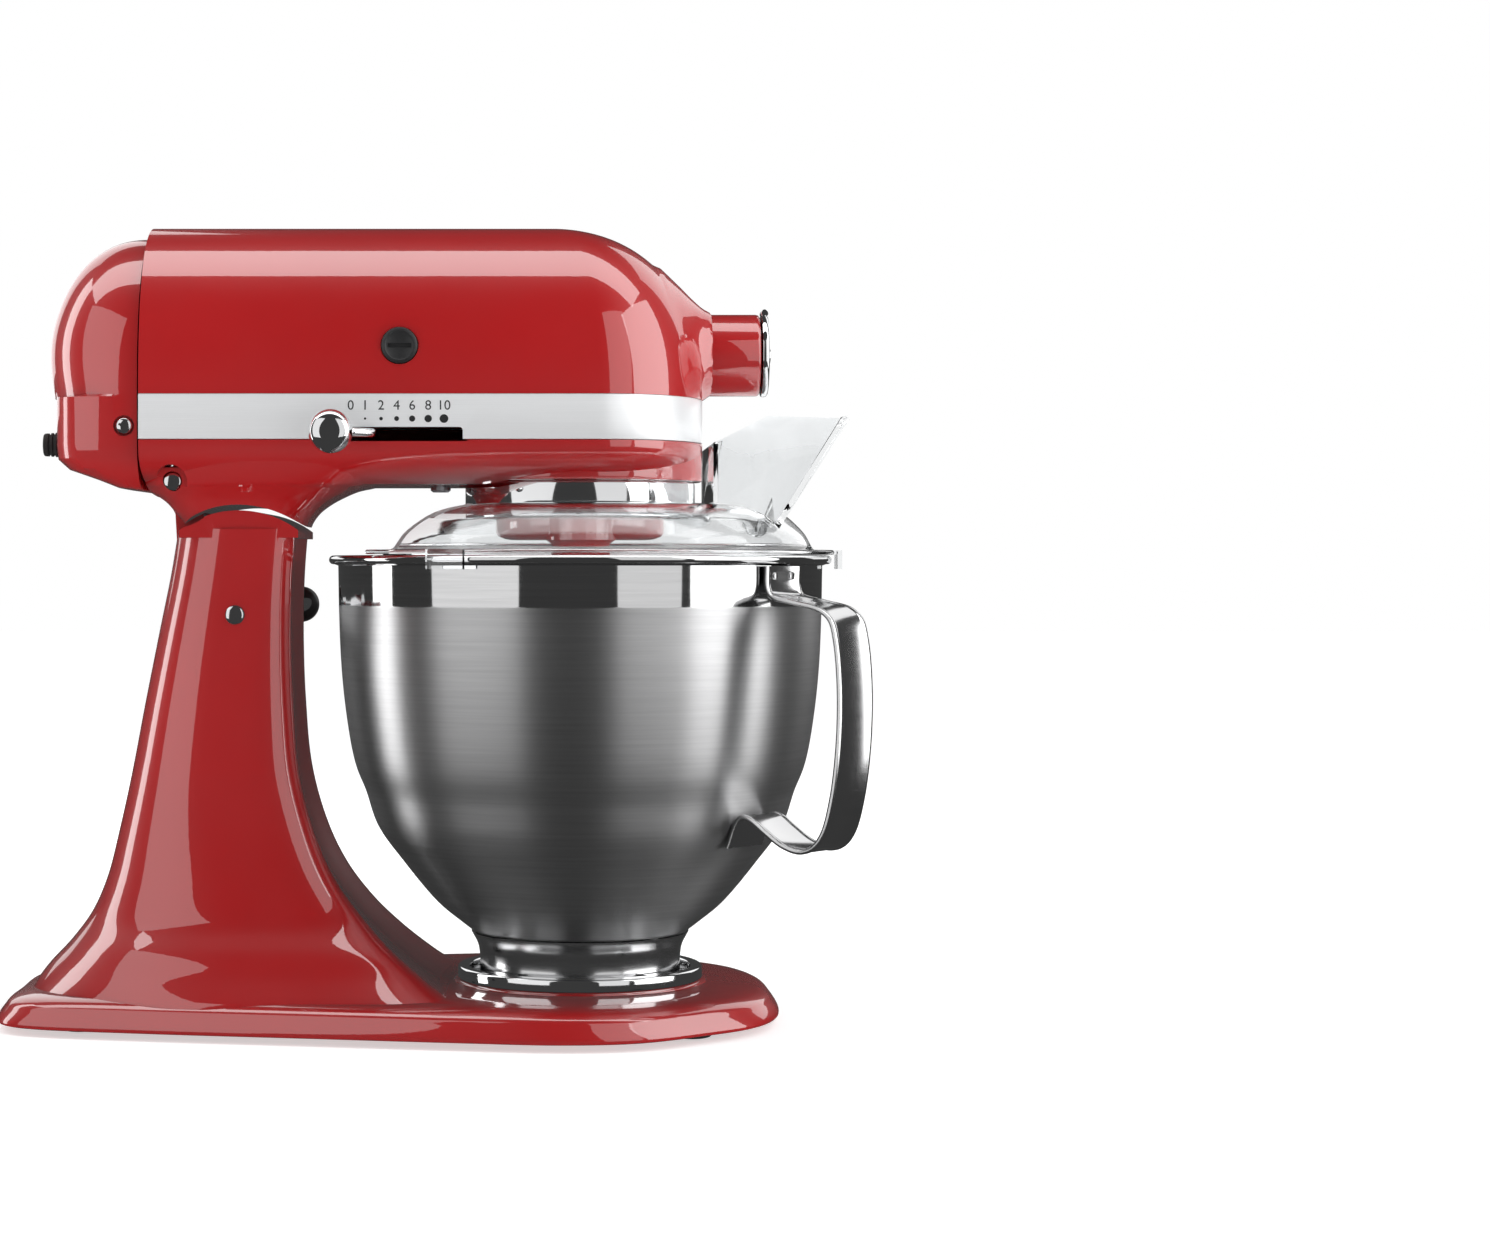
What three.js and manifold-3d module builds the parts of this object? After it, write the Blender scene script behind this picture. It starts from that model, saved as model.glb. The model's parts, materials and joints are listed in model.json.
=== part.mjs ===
// Tilt-head stand mixer with a steel bowl, a clear pouring shield and its chute.
// Millimetres, +Z up, standing on Z = 0. The design frame has the mixing axis at X = 0, the mirror
// plane at Y = 0 and the nose towards +X; FRAME_X then centres the whole machine on the origin.
import * as THREE from "three";
import { mergeVertices } from "three/addons/utils/BufferGeometryUtils.js";
import Module from "manifold-3d";

const wasm = await Module();
wasm.setup();

// ---------------------------------------------------------------- driving dimensions
const FRAME_X = 67.9;
const GAP = 0.3; // between pieces that rest on each other
const WALL = 4.2; // of the painted castings

const HEAD = { back: -194, halfWidth: 65.6, noseCentre: 8, noseFront: 56, crownStart: -16 };
const BAND = { bottom: 262, top: 282, depth: 2 };
const SPLIT_Z = 272; // the joint between the upper housing and the gearcase
const CROWN_HEIGHT = 78.5; // of the upper housing above the band
const BELLY = { height: 21, power: 2.6 };
const NOSE_DRUM = { r: 56, bottom: 244.7 };
const CAP = { front: -195.2, halfWidth: 61, top: 355.5, bottom: 240.4, boxBack: -235.7, domeBack: -242.8 };

const HINGE = { x: -181, z: 244, pinR: 4, sweepR: 20.6, maxTilt: 45 };
const ARC = { x: -152.5, z: 187.2, standR: 44, headR: 46.5 };
const TONGUE_HALF = 19.7;

const RING_GEAR = { teeth: 50, module: 1.6, outerR: 46, bottom: 233, top: 244.6 };
const PLANET = { teeth: 15, module: 1.6, offset: 28, bottom: 234, top: 243.5 };
const CENTRE_GEAR = { teeth: 38, module: 1.5, bottom: 262, top: 270 };
const PINION = { teeth: 12, module: 1.5, x: -30, y: 22.5, bottom: 260.5, top: 271.5 };
const WORM_WHEEL = { teeth: 20, pitchR: 17, face: 3.5 };
const BEVEL = { teeth: 16, pitchR: 12, innerR: 7 };
const SHAFT_Z = 303; // height of the motor, the worm and the attachment hub
const WORM = { x: PINION.x, rootR: 3.6, tipR: 7, turns: 2.5 };
const WORM_LEAD = (2 * Math.PI * WORM_WHEEL.pitchR) / WORM_WHEEL.teeth;

const HUB = { r: 18.7, front: 82.2, boreR: 15.5, boreStart: 50 };
const KNOB_X = 58; // of the attachment knob, on the far side of the hub
const BRUSH_X = -79.7;
const HEIGHT_SCREW_X = -64;
const LOCK = { x: -154, z: 184.6, r: 4 };
const SPEED = { x: -91, z: 264.6 };
const GLAND = { r: 6, z: 262 };
const CAP_SCREW = { x: -201, z: 268, r: 3.9, seat: 58.6 };

const BOWL = { rimR: 115, rimBottom: 207.2, rimTop: 211.2, sheet: 1.2 };
const CLAMP = { bottom: 18.3, outerR: 56, innerR: 50.4, top: 24 };
const SHIELD = { bottom: 211.6, sheet: 2, slotHalf: 67.5, slotFront: 58, flangeR: 116.3 };
const CHUTE_HALF = 52.2;

// ---------------------------------------------------------------- finishes
const FINISHES = {
  red_paint: [0xb3121d, 0.22, 0.1],
  chrome: [0xdfe2e6, 0.08, 1],
  brushed_steel: [0xb9bcc0, 0.32, 1],
  polished_steel: [0xcfd2d6, 0.12, 1],
  trim_aluminium: [0xc6c9cc, 0.35, 0.9],
  clear_plastic: [0xe6ecee, 0.08, 0],
  black_plastic: [0x18181a, 0.45, 0],
  rubber: [0x1c1c1c, 0.9, 0],
  gear_steel: [0x8c8f94, 0.4, 0.9],
  brass: [0xb8923f, 0.35, 0.9],
  copper: [0xa85f36, 0.4, 0.8],
  carbon: [0x2b2b2d, 0.7, 0],
  board_green: [0x1f5b3a, 0.6, 0],
};

// ---------------------------------------------------------------- geometry helpers
const TAU = 2 * Math.PI;
const rad = THREE.MathUtils.degToRad;
const range = (n) => [...Array(n).keys()];
const lerp = THREE.MathUtils.lerp;

// A closed geometry as a solid whose faces point outwards.
function solidOf(geometry) {
  const bare = new THREE.BufferGeometry().setAttribute("position", geometry.getAttribute("position"));
  bare.setIndex(geometry.index);
  const merged = mergeVertices(bare, 1e-4);
  const index = [];
  for (let i = 0; i < merged.index.count; i += 3) {
    const [a, b, c] = [0, 1, 2].map((k) => merged.index.getX(i + k));
    if (a !== b && b !== c && c !== a) index.push(a, b, c);
  }
  const build = (triVerts) =>
    new wasm.Manifold(
      new wasm.Mesh({
        numProp: 3,
        vertProperties: merged.attributes.position.array,
        triVerts: new Uint32Array(triVerts),
      }),
    );
  const solid = build(index);
  return solid.volume() < 0 ? build(index.reverse()) : solid;
}

function geometryOf(solid) {
  const mesh = solid.getMesh();
  const position = new Float32Array(mesh.numVert * 3);
  for (let i = 0; i < mesh.numVert; i++) {
    position.set(mesh.vertProperties.subarray(i * mesh.numProp, i * mesh.numProp + 3), i * 3);
  }
  return new THREE.BufferGeometry()
    .setAttribute("position", new THREE.BufferAttribute(position, 3))
    .setIndex(new THREE.BufferAttribute(mesh.triVerts, 1));
}

const join = (first, ...others) =>
  geometryOf(others.reduce((sum, other) => sum.add(solidOf(other)), solidOf(first)));
const cut = (first, ...tools) =>
  geometryOf(tools.reduce((rest, tool) => rest.subtract(solidOf(tool)), solidOf(first)));
const common = (a, b) => geometryOf(solidOf(a).intersect(solidOf(b)));

// Turns a profile of [radius, height] round the X, Y or Z axis, then moves it to `at`.
function lathe(profile, axis = "z", at = [0, 0, 0], segments = 24) {
  const points = profile.map(([r, h]) => new THREE.Vector2(r, h));
  const geometry = new THREE.LatheGeometry(points, segments);
  if (axis === "z") geometry.rotateX(Math.PI / 2);
  if (axis === "x") geometry.rotateZ(-Math.PI / 2);
  return geometry.translate(...at);
}

function rod(axis, r, from, to, at = [0, 0, 0], segments = 16) {
  return lathe([[0, from], [r, from], [r, to], [0, to]], axis, at, segments);
}

function ring(axis, innerR, outerR, from, to, at = [0, 0, 0], segments = 24) {
  const profile = [[innerR, from], [outerR, from], [outerR, to], [innerR, to], [innerR, from]];
  return lathe(profile, axis, at, segments);
}

// Extrudes an outline from `from` to `to` along an axis. The outline's points are (x, y) for z,
// (x, z) for y and (y, z) for x.
function prism(outline, axis, from, to) {
  const shape = new THREE.Shape(outline.map(([u, v]) => new THREE.Vector2(u, v)));
  const geometry = new THREE.ExtrudeGeometry(shape, { depth: to - from, bevelEnabled: false });
  const [X, Y, Z] = [new THREE.Vector3(1, 0, 0), new THREE.Vector3(0, 1, 0), new THREE.Vector3(0, 0, 1)];
  if (axis === "x") geometry.applyMatrix4(new THREE.Matrix4().makeBasis(Y, Z, X)).translate(from, 0, 0);
  if (axis === "y") {
    geometry.applyMatrix4(new THREE.Matrix4().makeBasis(X, Z, Y.negate())).translate(0, to, 0);
  }
  if (axis === "z") geometry.translate(0, 0, from);
  return geometry;
}

function box([x0, y0, z0], [x1, y1, z1]) {
  const geometry = new THREE.BoxGeometry(x1 - x0, y1 - y0, z1 - z0);
  return geometry.translate((x0 + x1) / 2, (y0 + y1) / 2, (z0 + z1) / 2);
}

// Skins a stack of rings, each a list of the same number of [x, y, z] points, and caps both ends.
function loft(rings) {
  const count = rings[0].length;
  const centre = (loop) => [0, 1, 2].map((k) => loop.reduce((sum, p) => sum + p[k], 0) / count);
  const points = [...rings.flat(), centre(rings[0]), centre(rings.at(-1))];
  const index = [];
  const [low, high] = [points.length - 2, points.length - 1];
  const last = (rings.length - 1) * count;
  for (const i of range(count)) {
    const j = (i + 1) % count;
    for (const row of range(rings.length - 1)) {
      const [a, b] = [row * count + i, row * count + j];
      index.push(a, b, b + count, a, b + count, a + count);
    }
    index.push(low, j, i, high, last + i, last + j);
  }
  return new THREE.BufferGeometry()
    .setAttribute("position", new THREE.Float32BufferAttribute(points.flat(), 3))
    .setIndex(index);
}

function tube(points, r, steps, sides = 10) {
  const path = new THREE.CatmullRomCurve3(points.map((p) => new THREE.Vector3(...p)), false, "centripetal");
  const section = new THREE.Shape(range(sides).map((i) => {
    const a = (TAU * i) / sides;
    return new THREE.Vector2(r * Math.cos(a), r * Math.sin(a));
  }));
  return new THREE.ExtrudeGeometry(section, { steps, extrudePath: path, bevelEnabled: false });
}

// Turns a geometry by `degrees` about an axis parallel to Y or Z through a point.
function turnAboutY(geometry, degrees, x, z) {
  return geometry.clone().translate(-x, 0, -z).rotateY(rad(degrees)).translate(x, 0, z);
}

function turnAboutZ(geometry, degrees) {
  return geometry.clone().rotateZ(rad(degrees));
}

// Signed power, for superellipse outlines.
const signedPower = (value, power) => Math.sign(value) * Math.abs(value) ** power;
const superRoot = (t, power) => Math.max(0, 1 - Math.abs(t) ** power) ** (1 / power);

// Points beside a polyline of [u, v] at a distance, to the left of its direction.
function offsetLine(line, distance) {
  return line.map(([u, v], i) => {
    const [before, after] = [line[Math.max(0, i - 1)], line[Math.min(line.length - 1, i + 1)]];
    const [du, dv] = [after[0] - before[0], after[1] - before[1]];
    const length = Math.hypot(du, dv);
    return [u - (dv / length) * distance, v + (du / length) * distance];
  });
}

// ---------------------------------------------------------------- gears
// One tooth runs from root to tip and back; widths are shares of the tooth pitch.
function gearOutline(teeth, rootR, tipR, phase, rootShare = 0.28, tipShare = 0.13) {
  const step = TAU / teeth;
  return range(teeth).flatMap((i) => {
    const middle = phase + i * step;
    const corners = [[rootR, -rootShare], [tipR, -tipShare], [tipR, tipShare], [rootR, rootShare]];
    return corners.map(([r, share]) => {
      const a = middle + share * step;
      return [r * Math.cos(a), r * Math.sin(a)];
    });
  });
}

function spurGear({ teeth, module, bottom, top }, phase) {
  const pitchR = (teeth * module) / 2;
  const outline = gearOutline(teeth, pitchR - 1.15 * module, pitchR + 0.85 * module, phase);
  return prism(outline, "z", bottom, top);
}

// A straight bevel gear with its apex at the origin and its large end at Z = -pitchR.
function bevelGear(phase) {
  const { teeth, pitchR, innerR } = BEVEL;
  const outline = gearOutline(teeth, pitchR - 1.7, pitchR + 1.2, phase);
  const ringAt = (r) => outline.map(([x, y]) => [(x * r) / pitchR, (y * r) / pitchR, -r]);
  return loft([ringAt(pitchR), ringAt(innerR)]);
}

// ---------------------------------------------------------------- stand
// Height, back and front of the column and half its width, from the hinge down to the base.
const COLUMN = [
  [223, -183.3, -124.5, 43],
  [203, -186.6, -125.9, 43],
  [178, -191.7, -126.3, 43.5],
  [144, -198.5, -125, 44.5],
  [113, -204.4, -121.6, 46.5],
  [86, -210.4, -113.6, 50],
  [66, -215.5, -103.5, 55],
  [50, -222.3, -91, 61],
  [36, -232.5, -77, 73],
  [27, -241, -66, 80],
  [20, -246.5, -56.5, 87],
  [14, -250, -46, 94],
];
const CHANNEL_SHARE = 0.86; // of the half width, taken by the hollow front face

// A section with a round back, crisp front edges and a hollow front face. Near the base it narrows
// towards the back, as the base's plan does.
function columnSection([z, back, front, half], inset, steps) {
  const [middle, reach] = [(back + front) / 2, (front - back) / 2 - inset];
  const hollow = lerp(13, 7, THREE.MathUtils.clamp((z - 20) / 120, 0, 1));
  const narrowing = lerp(0.3, 0, THREE.MathUtils.clamp((z - 14) / 100, 0, 1) ** 0.6);
  return range(steps).map((i) => {
    const [c, s] = [Math.cos((TAU * i) / steps), Math.sin((TAU * i) / steps)];
    const power = c < 0 ? 2 / 2.6 : 2 / 5;
    const taper = 1 - narrowing * (1 - c) * 0.5;
    const y = (half * taper - inset) * signedPower(s, power);
    const dent = c > 0 ? hollow * Math.max(0, 1 - (y / (CHANNEL_SHARE * (half - inset))) ** 2) : 0;
    return [middle + reach * signedPower(c, power) - dent, y, z];
  });
}

// Half of the base's plan, from the blunt back round to the blunt front.
const BASE_HALF = [
  [-261, 0], [-260.5, 38], [-255, 55], [-242, 64], [-190, 77], [-120, 90], [-50, 103], [-8, 109],
  [25, 104], [55, 83], [76, 63], [87, 38], [90.5, 0],
];
const BASE_CENTRE = -85;

function baseOutline(scale, steps) {
  const loop = [...BASE_HALF, ...BASE_HALF.slice(1, -1).reverse().map(([x, y]) => [x, -y])];
  const curve = new THREE.CatmullRomCurve3(loop.map(([x, y]) => new THREE.Vector3(x, y, 0)), true);
  return curve.getSpacedPoints(steps).slice(0, -1).map((p) => [
    BASE_CENTRE + (p.x - BASE_CENTRE) * scale,
    p.y * scale,
  ]);
}

const baseRing = (z, scale, steps) => baseOutline(scale, steps).map(([x, y]) => [x, y, z]);
const FEET = [
  ["front_left", 48, -62], ["front_right", 48, 62], ["rear_left", -222, -42],
  ["rear_right", -222, 42], ["centre", -92, 0],
];
const FOOT = { r: 9.5, height: 2.9, stemR: 3.5, stemTop: 8 };
const CLAMP_SCREWS = range(3).map((i) => [26 * Math.cos((TAU * i) / 3), 26 * Math.sin((TAU * i) / 3)]);

// The tongue that carries the head's hinge pin, with `grow` added all round.
function tongue(grow) {
  const eye = range(9).map((i) => {
    const a = rad(-25 + (230 * i) / 8);
    return [HINGE.x + (8.5 + grow) * Math.cos(a), HINGE.z + (8.5 + grow) * Math.sin(a)];
  });
  const foot = [[-183.4 - grow, 230], [-182.6 - grow, 216], [-168 + grow, 216], [-171 + grow, 232]];
  return prism([...eye, ...foot], "y", -TONGUE_HALF - grow, TONGUE_HALF + grow);
}

function standCasting() {
  const slab = loft([
    [3.2, 0.99], [5, 1], [10.5, 0.982], [14, 0.962], [15.8, 0.93], [17, 0.8],
  ].map(([z, scale]) => baseRing(z, scale, 32)));
  const column = loft(COLUMN.map((row) => columnSection(row, 0, 24)));
  const crown = common(
    rod("y", ARC.standR, -42, 42, [ARC.x, 0, ARC.z], 48),
    box([-179, -42, 219], [-126, 42, 240]),
  );
  const pad = rod("z", CLAMP.outerR + 1.5, 12, CLAMP.bottom - GAP, [0, 0, 0], 40);
  const sweep = rod("y", HINGE.sweepR, -60, 60, [HINGE.x, 0, HINGE.z], 36);
  const outside = join(cut(join(slab, column, crown, pad), sweep), tongue(0));
  const innerRows = [...COLUMN.filter(([z], i) => z < 215 && i % 2 === 1), [8, ...COLUMN.at(-1).slice(1)]];
  const hollow = join(
    loft(innerRows.map((row) => columnSection(row, WALL, 16))),
    loft([baseRing(-1, 0.95, 24), baseRing(12, 0.92, 24)]),
  );
  const bosses = join(
    ...FEET.map(([, x, y]) => rod("z", FOOT.r + 1.5, 3.2, 60, [x, y, 0], 14)),
    ...CLAMP_SCREWS.map(([x, y]) => rod("z", 5, 8, 60, [x, y, 0], 10)),
  );
  const casting = join(cut(outside, hollow), common(bosses, outside));
  const footHoles = FEET.map(([, x, y]) => rod("z", FOOT.stemR + GAP, -1, FOOT.stemTop + 1, [x, y, 0], 10));
  const screwHoles = CLAMP_SCREWS.map(([x, y]) => rod("z", 2.3, 5, 20, [x, y, 0], 10));
  const cross = [
    rod("y", HINGE.pinR + GAP, -30, 30, [HINGE.x, 0, HINGE.z]),
    rod("y", LOCK.r + GAP, -60, 60, [LOCK.x, 0, LOCK.z]),
  ];
  return cut(casting, ...footHoles, ...screwHoles, ...cross);
}

function foot(x, y) {
  const { r, height, stemR, stemTop } = FOOT;
  const profile = [[0, 0], [r - 1, 0], [r, 1], [r, height], [stemR, height], [stemR, stemTop], [0, stemTop]];
  return lathe(profile, "z", [x, y, 0], 14);
}

// Four bayonet tabs reach in over the lugs of the bowl's foot.
function sector(innerR, outerR, halfAngle, middle, bottom, top) {
  const angles = range(4).map((i) => rad(middle - halfAngle + (halfAngle * i) / 1.5));
  const outer = angles.map((a) => [outerR * Math.cos(a), outerR * Math.sin(a)]);
  const inner = angles.map((a) => [innerR * Math.cos(a), innerR * Math.sin(a)]).reverse();
  return prism([...outer, ...inner], "z", bottom, top);
}
const LUG = { angle: 45, half: 9 };
const lugAngles = range(4).map((i) => LUG.angle + 90 * i);

function bowlClampPlate() {
  const { bottom, outerR, innerR, top } = CLAMP;
  const dish = lathe([
    [0, bottom], [outerR - 1, bottom], [outerR, bottom + 1], [outerR, top - 1.2], [outerR - 1.2, top],
    [innerR + 1, top], [innerR, top - 1], [innerR, bottom + 1.4], [0, bottom + 1.4],
  ], "z", [0, 0, 0], 32);
  const tabs = lugAngles.map((a) => sector(47.2, 51.5, LUG.half, a, 22.5, 23.9));
  const holes = CLAMP_SCREWS.map(([x, y]) => rod("z", 2.3, 10, 22, [x, y, 0], 10));
  return cut(join(dish, ...tabs), ...holes);
}

function clampScrew(x, y) {
  const profile = [[0, 10.5], [2, 10.5], [2, 20], [4, 20], [4, 21.2], [2.6, 22.2], [0, 22.2]];
  return lathe(profile, "z", [x, y, 0], 10);
}

function hingePin() {
  const profile = [[0, -50], [3, -50], [4, -49], [4, 49], [3, 50], [0, 50]];
  return lathe(profile, "y", [HINGE.x, 0, HINGE.z], 18);
}

// ---------------------------------------------------------------- locking lever
function lockShaft() {
  const profile = [[0, -44.9], [3, -44.9], [LOCK.r, -44], [LOCK.r, 53], [0, 53]];
  const shaft = lathe(profile, "y", [LOCK.x, 0, LOCK.z], 20);
  const arm = prism([
    [LOCK.x - 4, LOCK.z - 5], [LOCK.x + 5, LOCK.z - 5], [LOCK.x + 27, LOCK.z + 1.5],
    [LOCK.x + 27, LOCK.z + 7], [LOCK.x - 1, LOCK.z + 5.5],
  ], "y", 48, 53);
  const lobe = [[-160, 181], [-148, 181], [-148, 188], [-151, 192], [-157, 192], [-160, 188]];
  const cam = prism(lobe, "y", -14, 14);
  return join(shaft, arm, cam);
}

function lockKnob() {
  const profile = [[0, 0], [6.5, 0], [8.5, 3], [8.5, 10], [6, 13], [0, 14]];
  return lathe(profile, "y", [LOCK.x + 21, 53 + GAP, LOCK.z + 3.5], 20);
}

// ---------------------------------------------------------------- head castings
// Plan outline of the head: flat back, straight sides and an elliptical nose. `side` and `nose`
// shrink its width and its front as the crown or the belly curves in.
function headOutline(side, nose, inset, back = HEAD.back, steps = 14) {
  const half = (HEAD.halfWidth - inset) * side;
  const reach = HEAD.noseFront - inset - HEAD.noseCentre;
  const arc = range(steps + 1).map((i) => {
    const a = -Math.PI / 2 + (Math.PI * i) / steps;
    const x = HEAD.noseCentre + reach * Math.cos(a);
    return [HEAD.crownStart + (x - HEAD.crownStart) * nose, half * Math.sin(a)];
  });
  return [[back, -half], ...arc, [back, half]];
}

const atHeight = (outline, z) => outline.map(([x, y]) => [x, y, z]);
const CROWN_STEPS = [0, 16, 32, 46, 58, 69, 79, 87];

// The crown is a superellipse: power 2.4 across the sides and 2.3 down the nose.
function crownRings(inset, back, steps = 14) {
  return CROWN_STEPS.map((degrees) => {
    const t = Math.sin(rad(degrees)) ** (2 / 2.4);
    const outline = headOutline(superRoot(t, 2.4), superRoot(t, 2.3), inset, back, steps);
    return atHeight(outline, BAND.top + (CROWN_HEIGHT - inset) * t);
  });
}

function bellyRings(inset, back) {
  return [19, 15.5, 10, 0].map((drop) => {
    const side = superRoot(drop / BELLY.height, BELLY.power);
    return atHeight(headOutline(side, side, inset, back), BAND.bottom - drop * (1 - inset / 30));
  });
}

const bandGroove = (z) => atHeight(headOutline(1, 1, BAND.depth + GAP), z);

function hubSnout() {
  const shoulder = [[0, 20], [40, 36], [31, 46], [25.5, 51.5], [21.5, 56], [19.4, 60], [HUB.r, 64]];
  const profile = [...shoulder, [HUB.r, 80.9], [17.6, HUB.front], [0, HUB.front]];
  const boss = rod("y", 8.5, 12, 44, [KNOB_X, 0, SHAFT_Z]);
  const aboveBand = box([0, -100, BAND.top + GAP], [100, 100, 400]);
  return join(common(lathe(profile, "x", [0, 0, SHAFT_Z], 28), aboveBand), boss);
}

function brushHoles() {
  return [[-80, -40], [40, 80]].map(([from, to]) => rod("y", 8.3, from, to, [BRUSH_X, 0, SHAFT_Z]));
}

function upperHousing() {
  const skin = loft([bandGroove(SPLIT_Z + 0.15), bandGroove(BAND.top + GAP), ...crownRings(0)]);
  const roofless = loft([
    atHeight(headOutline(1, 1, WALL, HEAD.back - 2, 8), SPLIT_Z - 1), ...crownRings(WALL, HEAD.back - 2, 8),
  ]);
  const hollow = cut(roofless, rod("x", 24, 34, 60, [0, 0, SHAFT_Z], 20));
  const bores = [
    rod("x", 9, 20, HUB.boreStart + 5, [0, 0, SHAFT_Z]),
    rod("x", HUB.boreR, HUB.boreStart, 90, [0, 0, SHAFT_Z], 24),
    rod("y", 3.4, 10, 50, [KNOB_X, 0, SHAFT_Z]),
    ...brushHoles(),
  ];
  const carriers = [
    ring("x", 9.3, 15, -59, -49, [0, 0, SHAFT_Z], 18),
    box([-59, -3, SHAFT_Z + 13], [-49, 3, 356]),
    box([-59, -62, SHAFT_Z - 3], [-49, -14, SHAFT_Z + 3]),
  ];
  return cut(join(cut(join(skin, hubSnout()), hollow), ...carriers), ...bores);
}

// Height, back, front and half width of the neck that comes down onto the column.
const NECK = [
  [222, -180, -124.4, 43], [224.5, -180, -124.2, 43], [230.4, -184.8, -120.4, 44.5],
  [234.7, -188.5, -115, 47], [238, -193, -109, 50], [241, -199, -102, 53.5],
  [243.4, -205, -92, 56.5], [250, -208, -78, 61], [258, -208, -66, 64.6],
];

function neckRing([z, back, front, half], steps = 24) {
  const [middle, reach] = [(back + front) / 2, (front - back) / 2];
  return range(steps).map((i) => {
    const [c, s] = [Math.cos((TAU * i) / steps), Math.sin((TAU * i) / steps)];
    const power = c < 0 ? 2 / 2.6 : 2 / 3.4;
    return [middle + reach * signedPower(c, power), half * signedPower(s, power), z];
  });
}

const speedSlot = (low, high) => box([-104, -80, low], [-50, -50, high]);

// Room for the tongue in the tilting head, as the head turns up round the hinge pin.
const tongueRoom = () => range(5).map((i) => turnAboutY(
  tongue(0.8), (HINGE.maxTilt * i) / 4, HINGE.x, HINGE.z));

function lowerGearcase() {
  const belly = cut(loft(bellyRings(0)), rod("z", NOSE_DRUM.r, 200, NOSE_DRUM.bottom, [0, 0, 0], 36));
  const groove = loft([bandGroove(BAND.bottom - GAP - 0.2), bandGroove(SPLIT_Z - 0.15)]);
  const drum = rod("z", NOSE_DRUM.r, NOSE_DRUM.bottom, BAND.bottom - GAP, [0, 0, 0], 36);
  const trimmedBelly = cut(belly, box([-300, -100, BAND.bottom - GAP], [100, 100, 300]));
  const neck = common(loft(NECK.map((row) => neckRing(row))), box([HEAD.back, -80, 210], [0, 80, 260]));
  const boss = rod("z", 49.6, 231.5, 248, [0, 0, 0], 32);
  const solid = join(trimmedBelly, groove, drum, neck, boss);
  const inner = headOutline(1, 1, WALL, HEAD.back - 2, 8);
  const narrow = headOutline(0.86, 0.98, WALL, HEAD.back - 2, 8);
  const hollow = loft([atHeight(narrow, 250), atHeight(inner, 261), atHeight(inner, 275)]);
  const holes = [
    rod("z", RING_GEAR.outerR + GAP, 225, RING_GEAR.top + GAP, [0, 0, 0], 32),
    rod("z", 6.6, 240, 255),
    rod("y", ARC.headR, -80, 80, [ARC.x, 0, ARC.z], 48),
    rod("y", HINGE.pinR + GAP, -80, 80, [HINGE.x, 0, HINGE.z]),
    rod("y", 7, 50.5, 80, [HINGE.x, 0, HINGE.z]),
    rod("y", 7, -80, -50.5, [HINGE.x, 0, HINGE.z]),
    rod("z", 3, 240, 255, [HEIGHT_SCREW_X, 0, 0], 14),
    speedSlot(261, 267.4),
  ];
  return cut(solid, hollow, ...holes, ...tongueRoom());
}

// A strip that wraps the head between its flat back ends, with a notch for the speed lever.
function trimBand() {
  const outer = prism(headOutline(1, 1, 0, HEAD.back, 20), "z", BAND.bottom, BAND.top);
  const inner = prism(headOutline(1, 1, BAND.depth, HEAD.back - 5, 20), "z", 250, 290);
  return cut(outer, inner, box([-102, -80, 255], [-52, -50, 267.3]));
}

// ---------------------------------------------------------------- end cap
// Height and back of the rounded cap above its square lower box, and how wide it is there.
function capRings(inset, front) {
  const { halfWidth, bottom, boxBack, domeBack } = CAP;
  const plan = (z, back, half) => range(13).map((i) => {
    const a = -Math.PI / 2 + (Math.PI * i) / 12;
    const reach = front - back - inset;
    const power = z < BAND.top ? 2 / 4 : 2 / 2.5;
    const y = (half - inset) * signedPower(Math.sin(a), power);
    return [front - reach * signedPower(Math.cos(a), power), y, z];
  });
  const box = [
    [bottom, -200, 46], [245, -215, 53], [249.5, -230, 58], [254, boxBack, 60],
    [BAND.top - 1, boxBack, halfWidth],
  ];
  const dome = [0, 16, 32, 46, 58, 69, 78, 85].map((degrees) => {
    const t = Math.sin(rad(degrees)) ** (2 / 2.2);
    const bulge = 4 * Math.sin(Math.min(1, t * 2.2) * Math.PI * 0.5);
    const height = CAP.top - BAND.top - inset;
    return [
      BAND.top + height * t,
      front + (domeBack + 4 - bulge - front) * superRoot(t, 2.3),
      halfWidth * superRoot(t, 2.4),
    ];
  });
  return [...box.map(([z, back, half]) => [z + (z < 250 ? inset : 0), back, half]), ...dome]
    .map(([z, back, half]) => plan(z, back, half));
}

function endCap() {
  const shell = cut(loft(capRings(0, CAP.front)), loft(capRings(4, CAP.front + 2)));
  const glandHole = rod("x", GLAND.r + GAP, -260, -210, [0, 0, GLAND.z]);
  const { x, z, r, seat } = CAP_SCREW;
  const wells = [[-80, -seat], [seat, 80]].map(([from, to]) => rod("y", r + 0.7, from, to, [x, 0, z]));
  return cut(shell, glandHole, ...wells, ...tongueRoom());
}

function endCapScrew(side) {
  const { x, z, r, seat } = CAP_SCREW;
  const screw = lathe([[0, 0], [r, 0], [r, 1.2], [2.4, 2.2], [0, 2.4]], "y", [0, 0, 0], 16);
  if (side < 0) screw.rotateZ(Math.PI);
  return screw.translate(x, side * (seat + GAP), z);
}

function cordGland() {
  const { r, z } = GLAND;
  const profile = [
    [3.2, -246], [5.2, -246], [r, -236.5], [9, -236.5], [9, -236], [r, -236], [r, -224], [3.2, -224],
    [3.2, -246],
  ];
  return lathe(profile, "x", [0, 0, z], 16);
}

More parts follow.
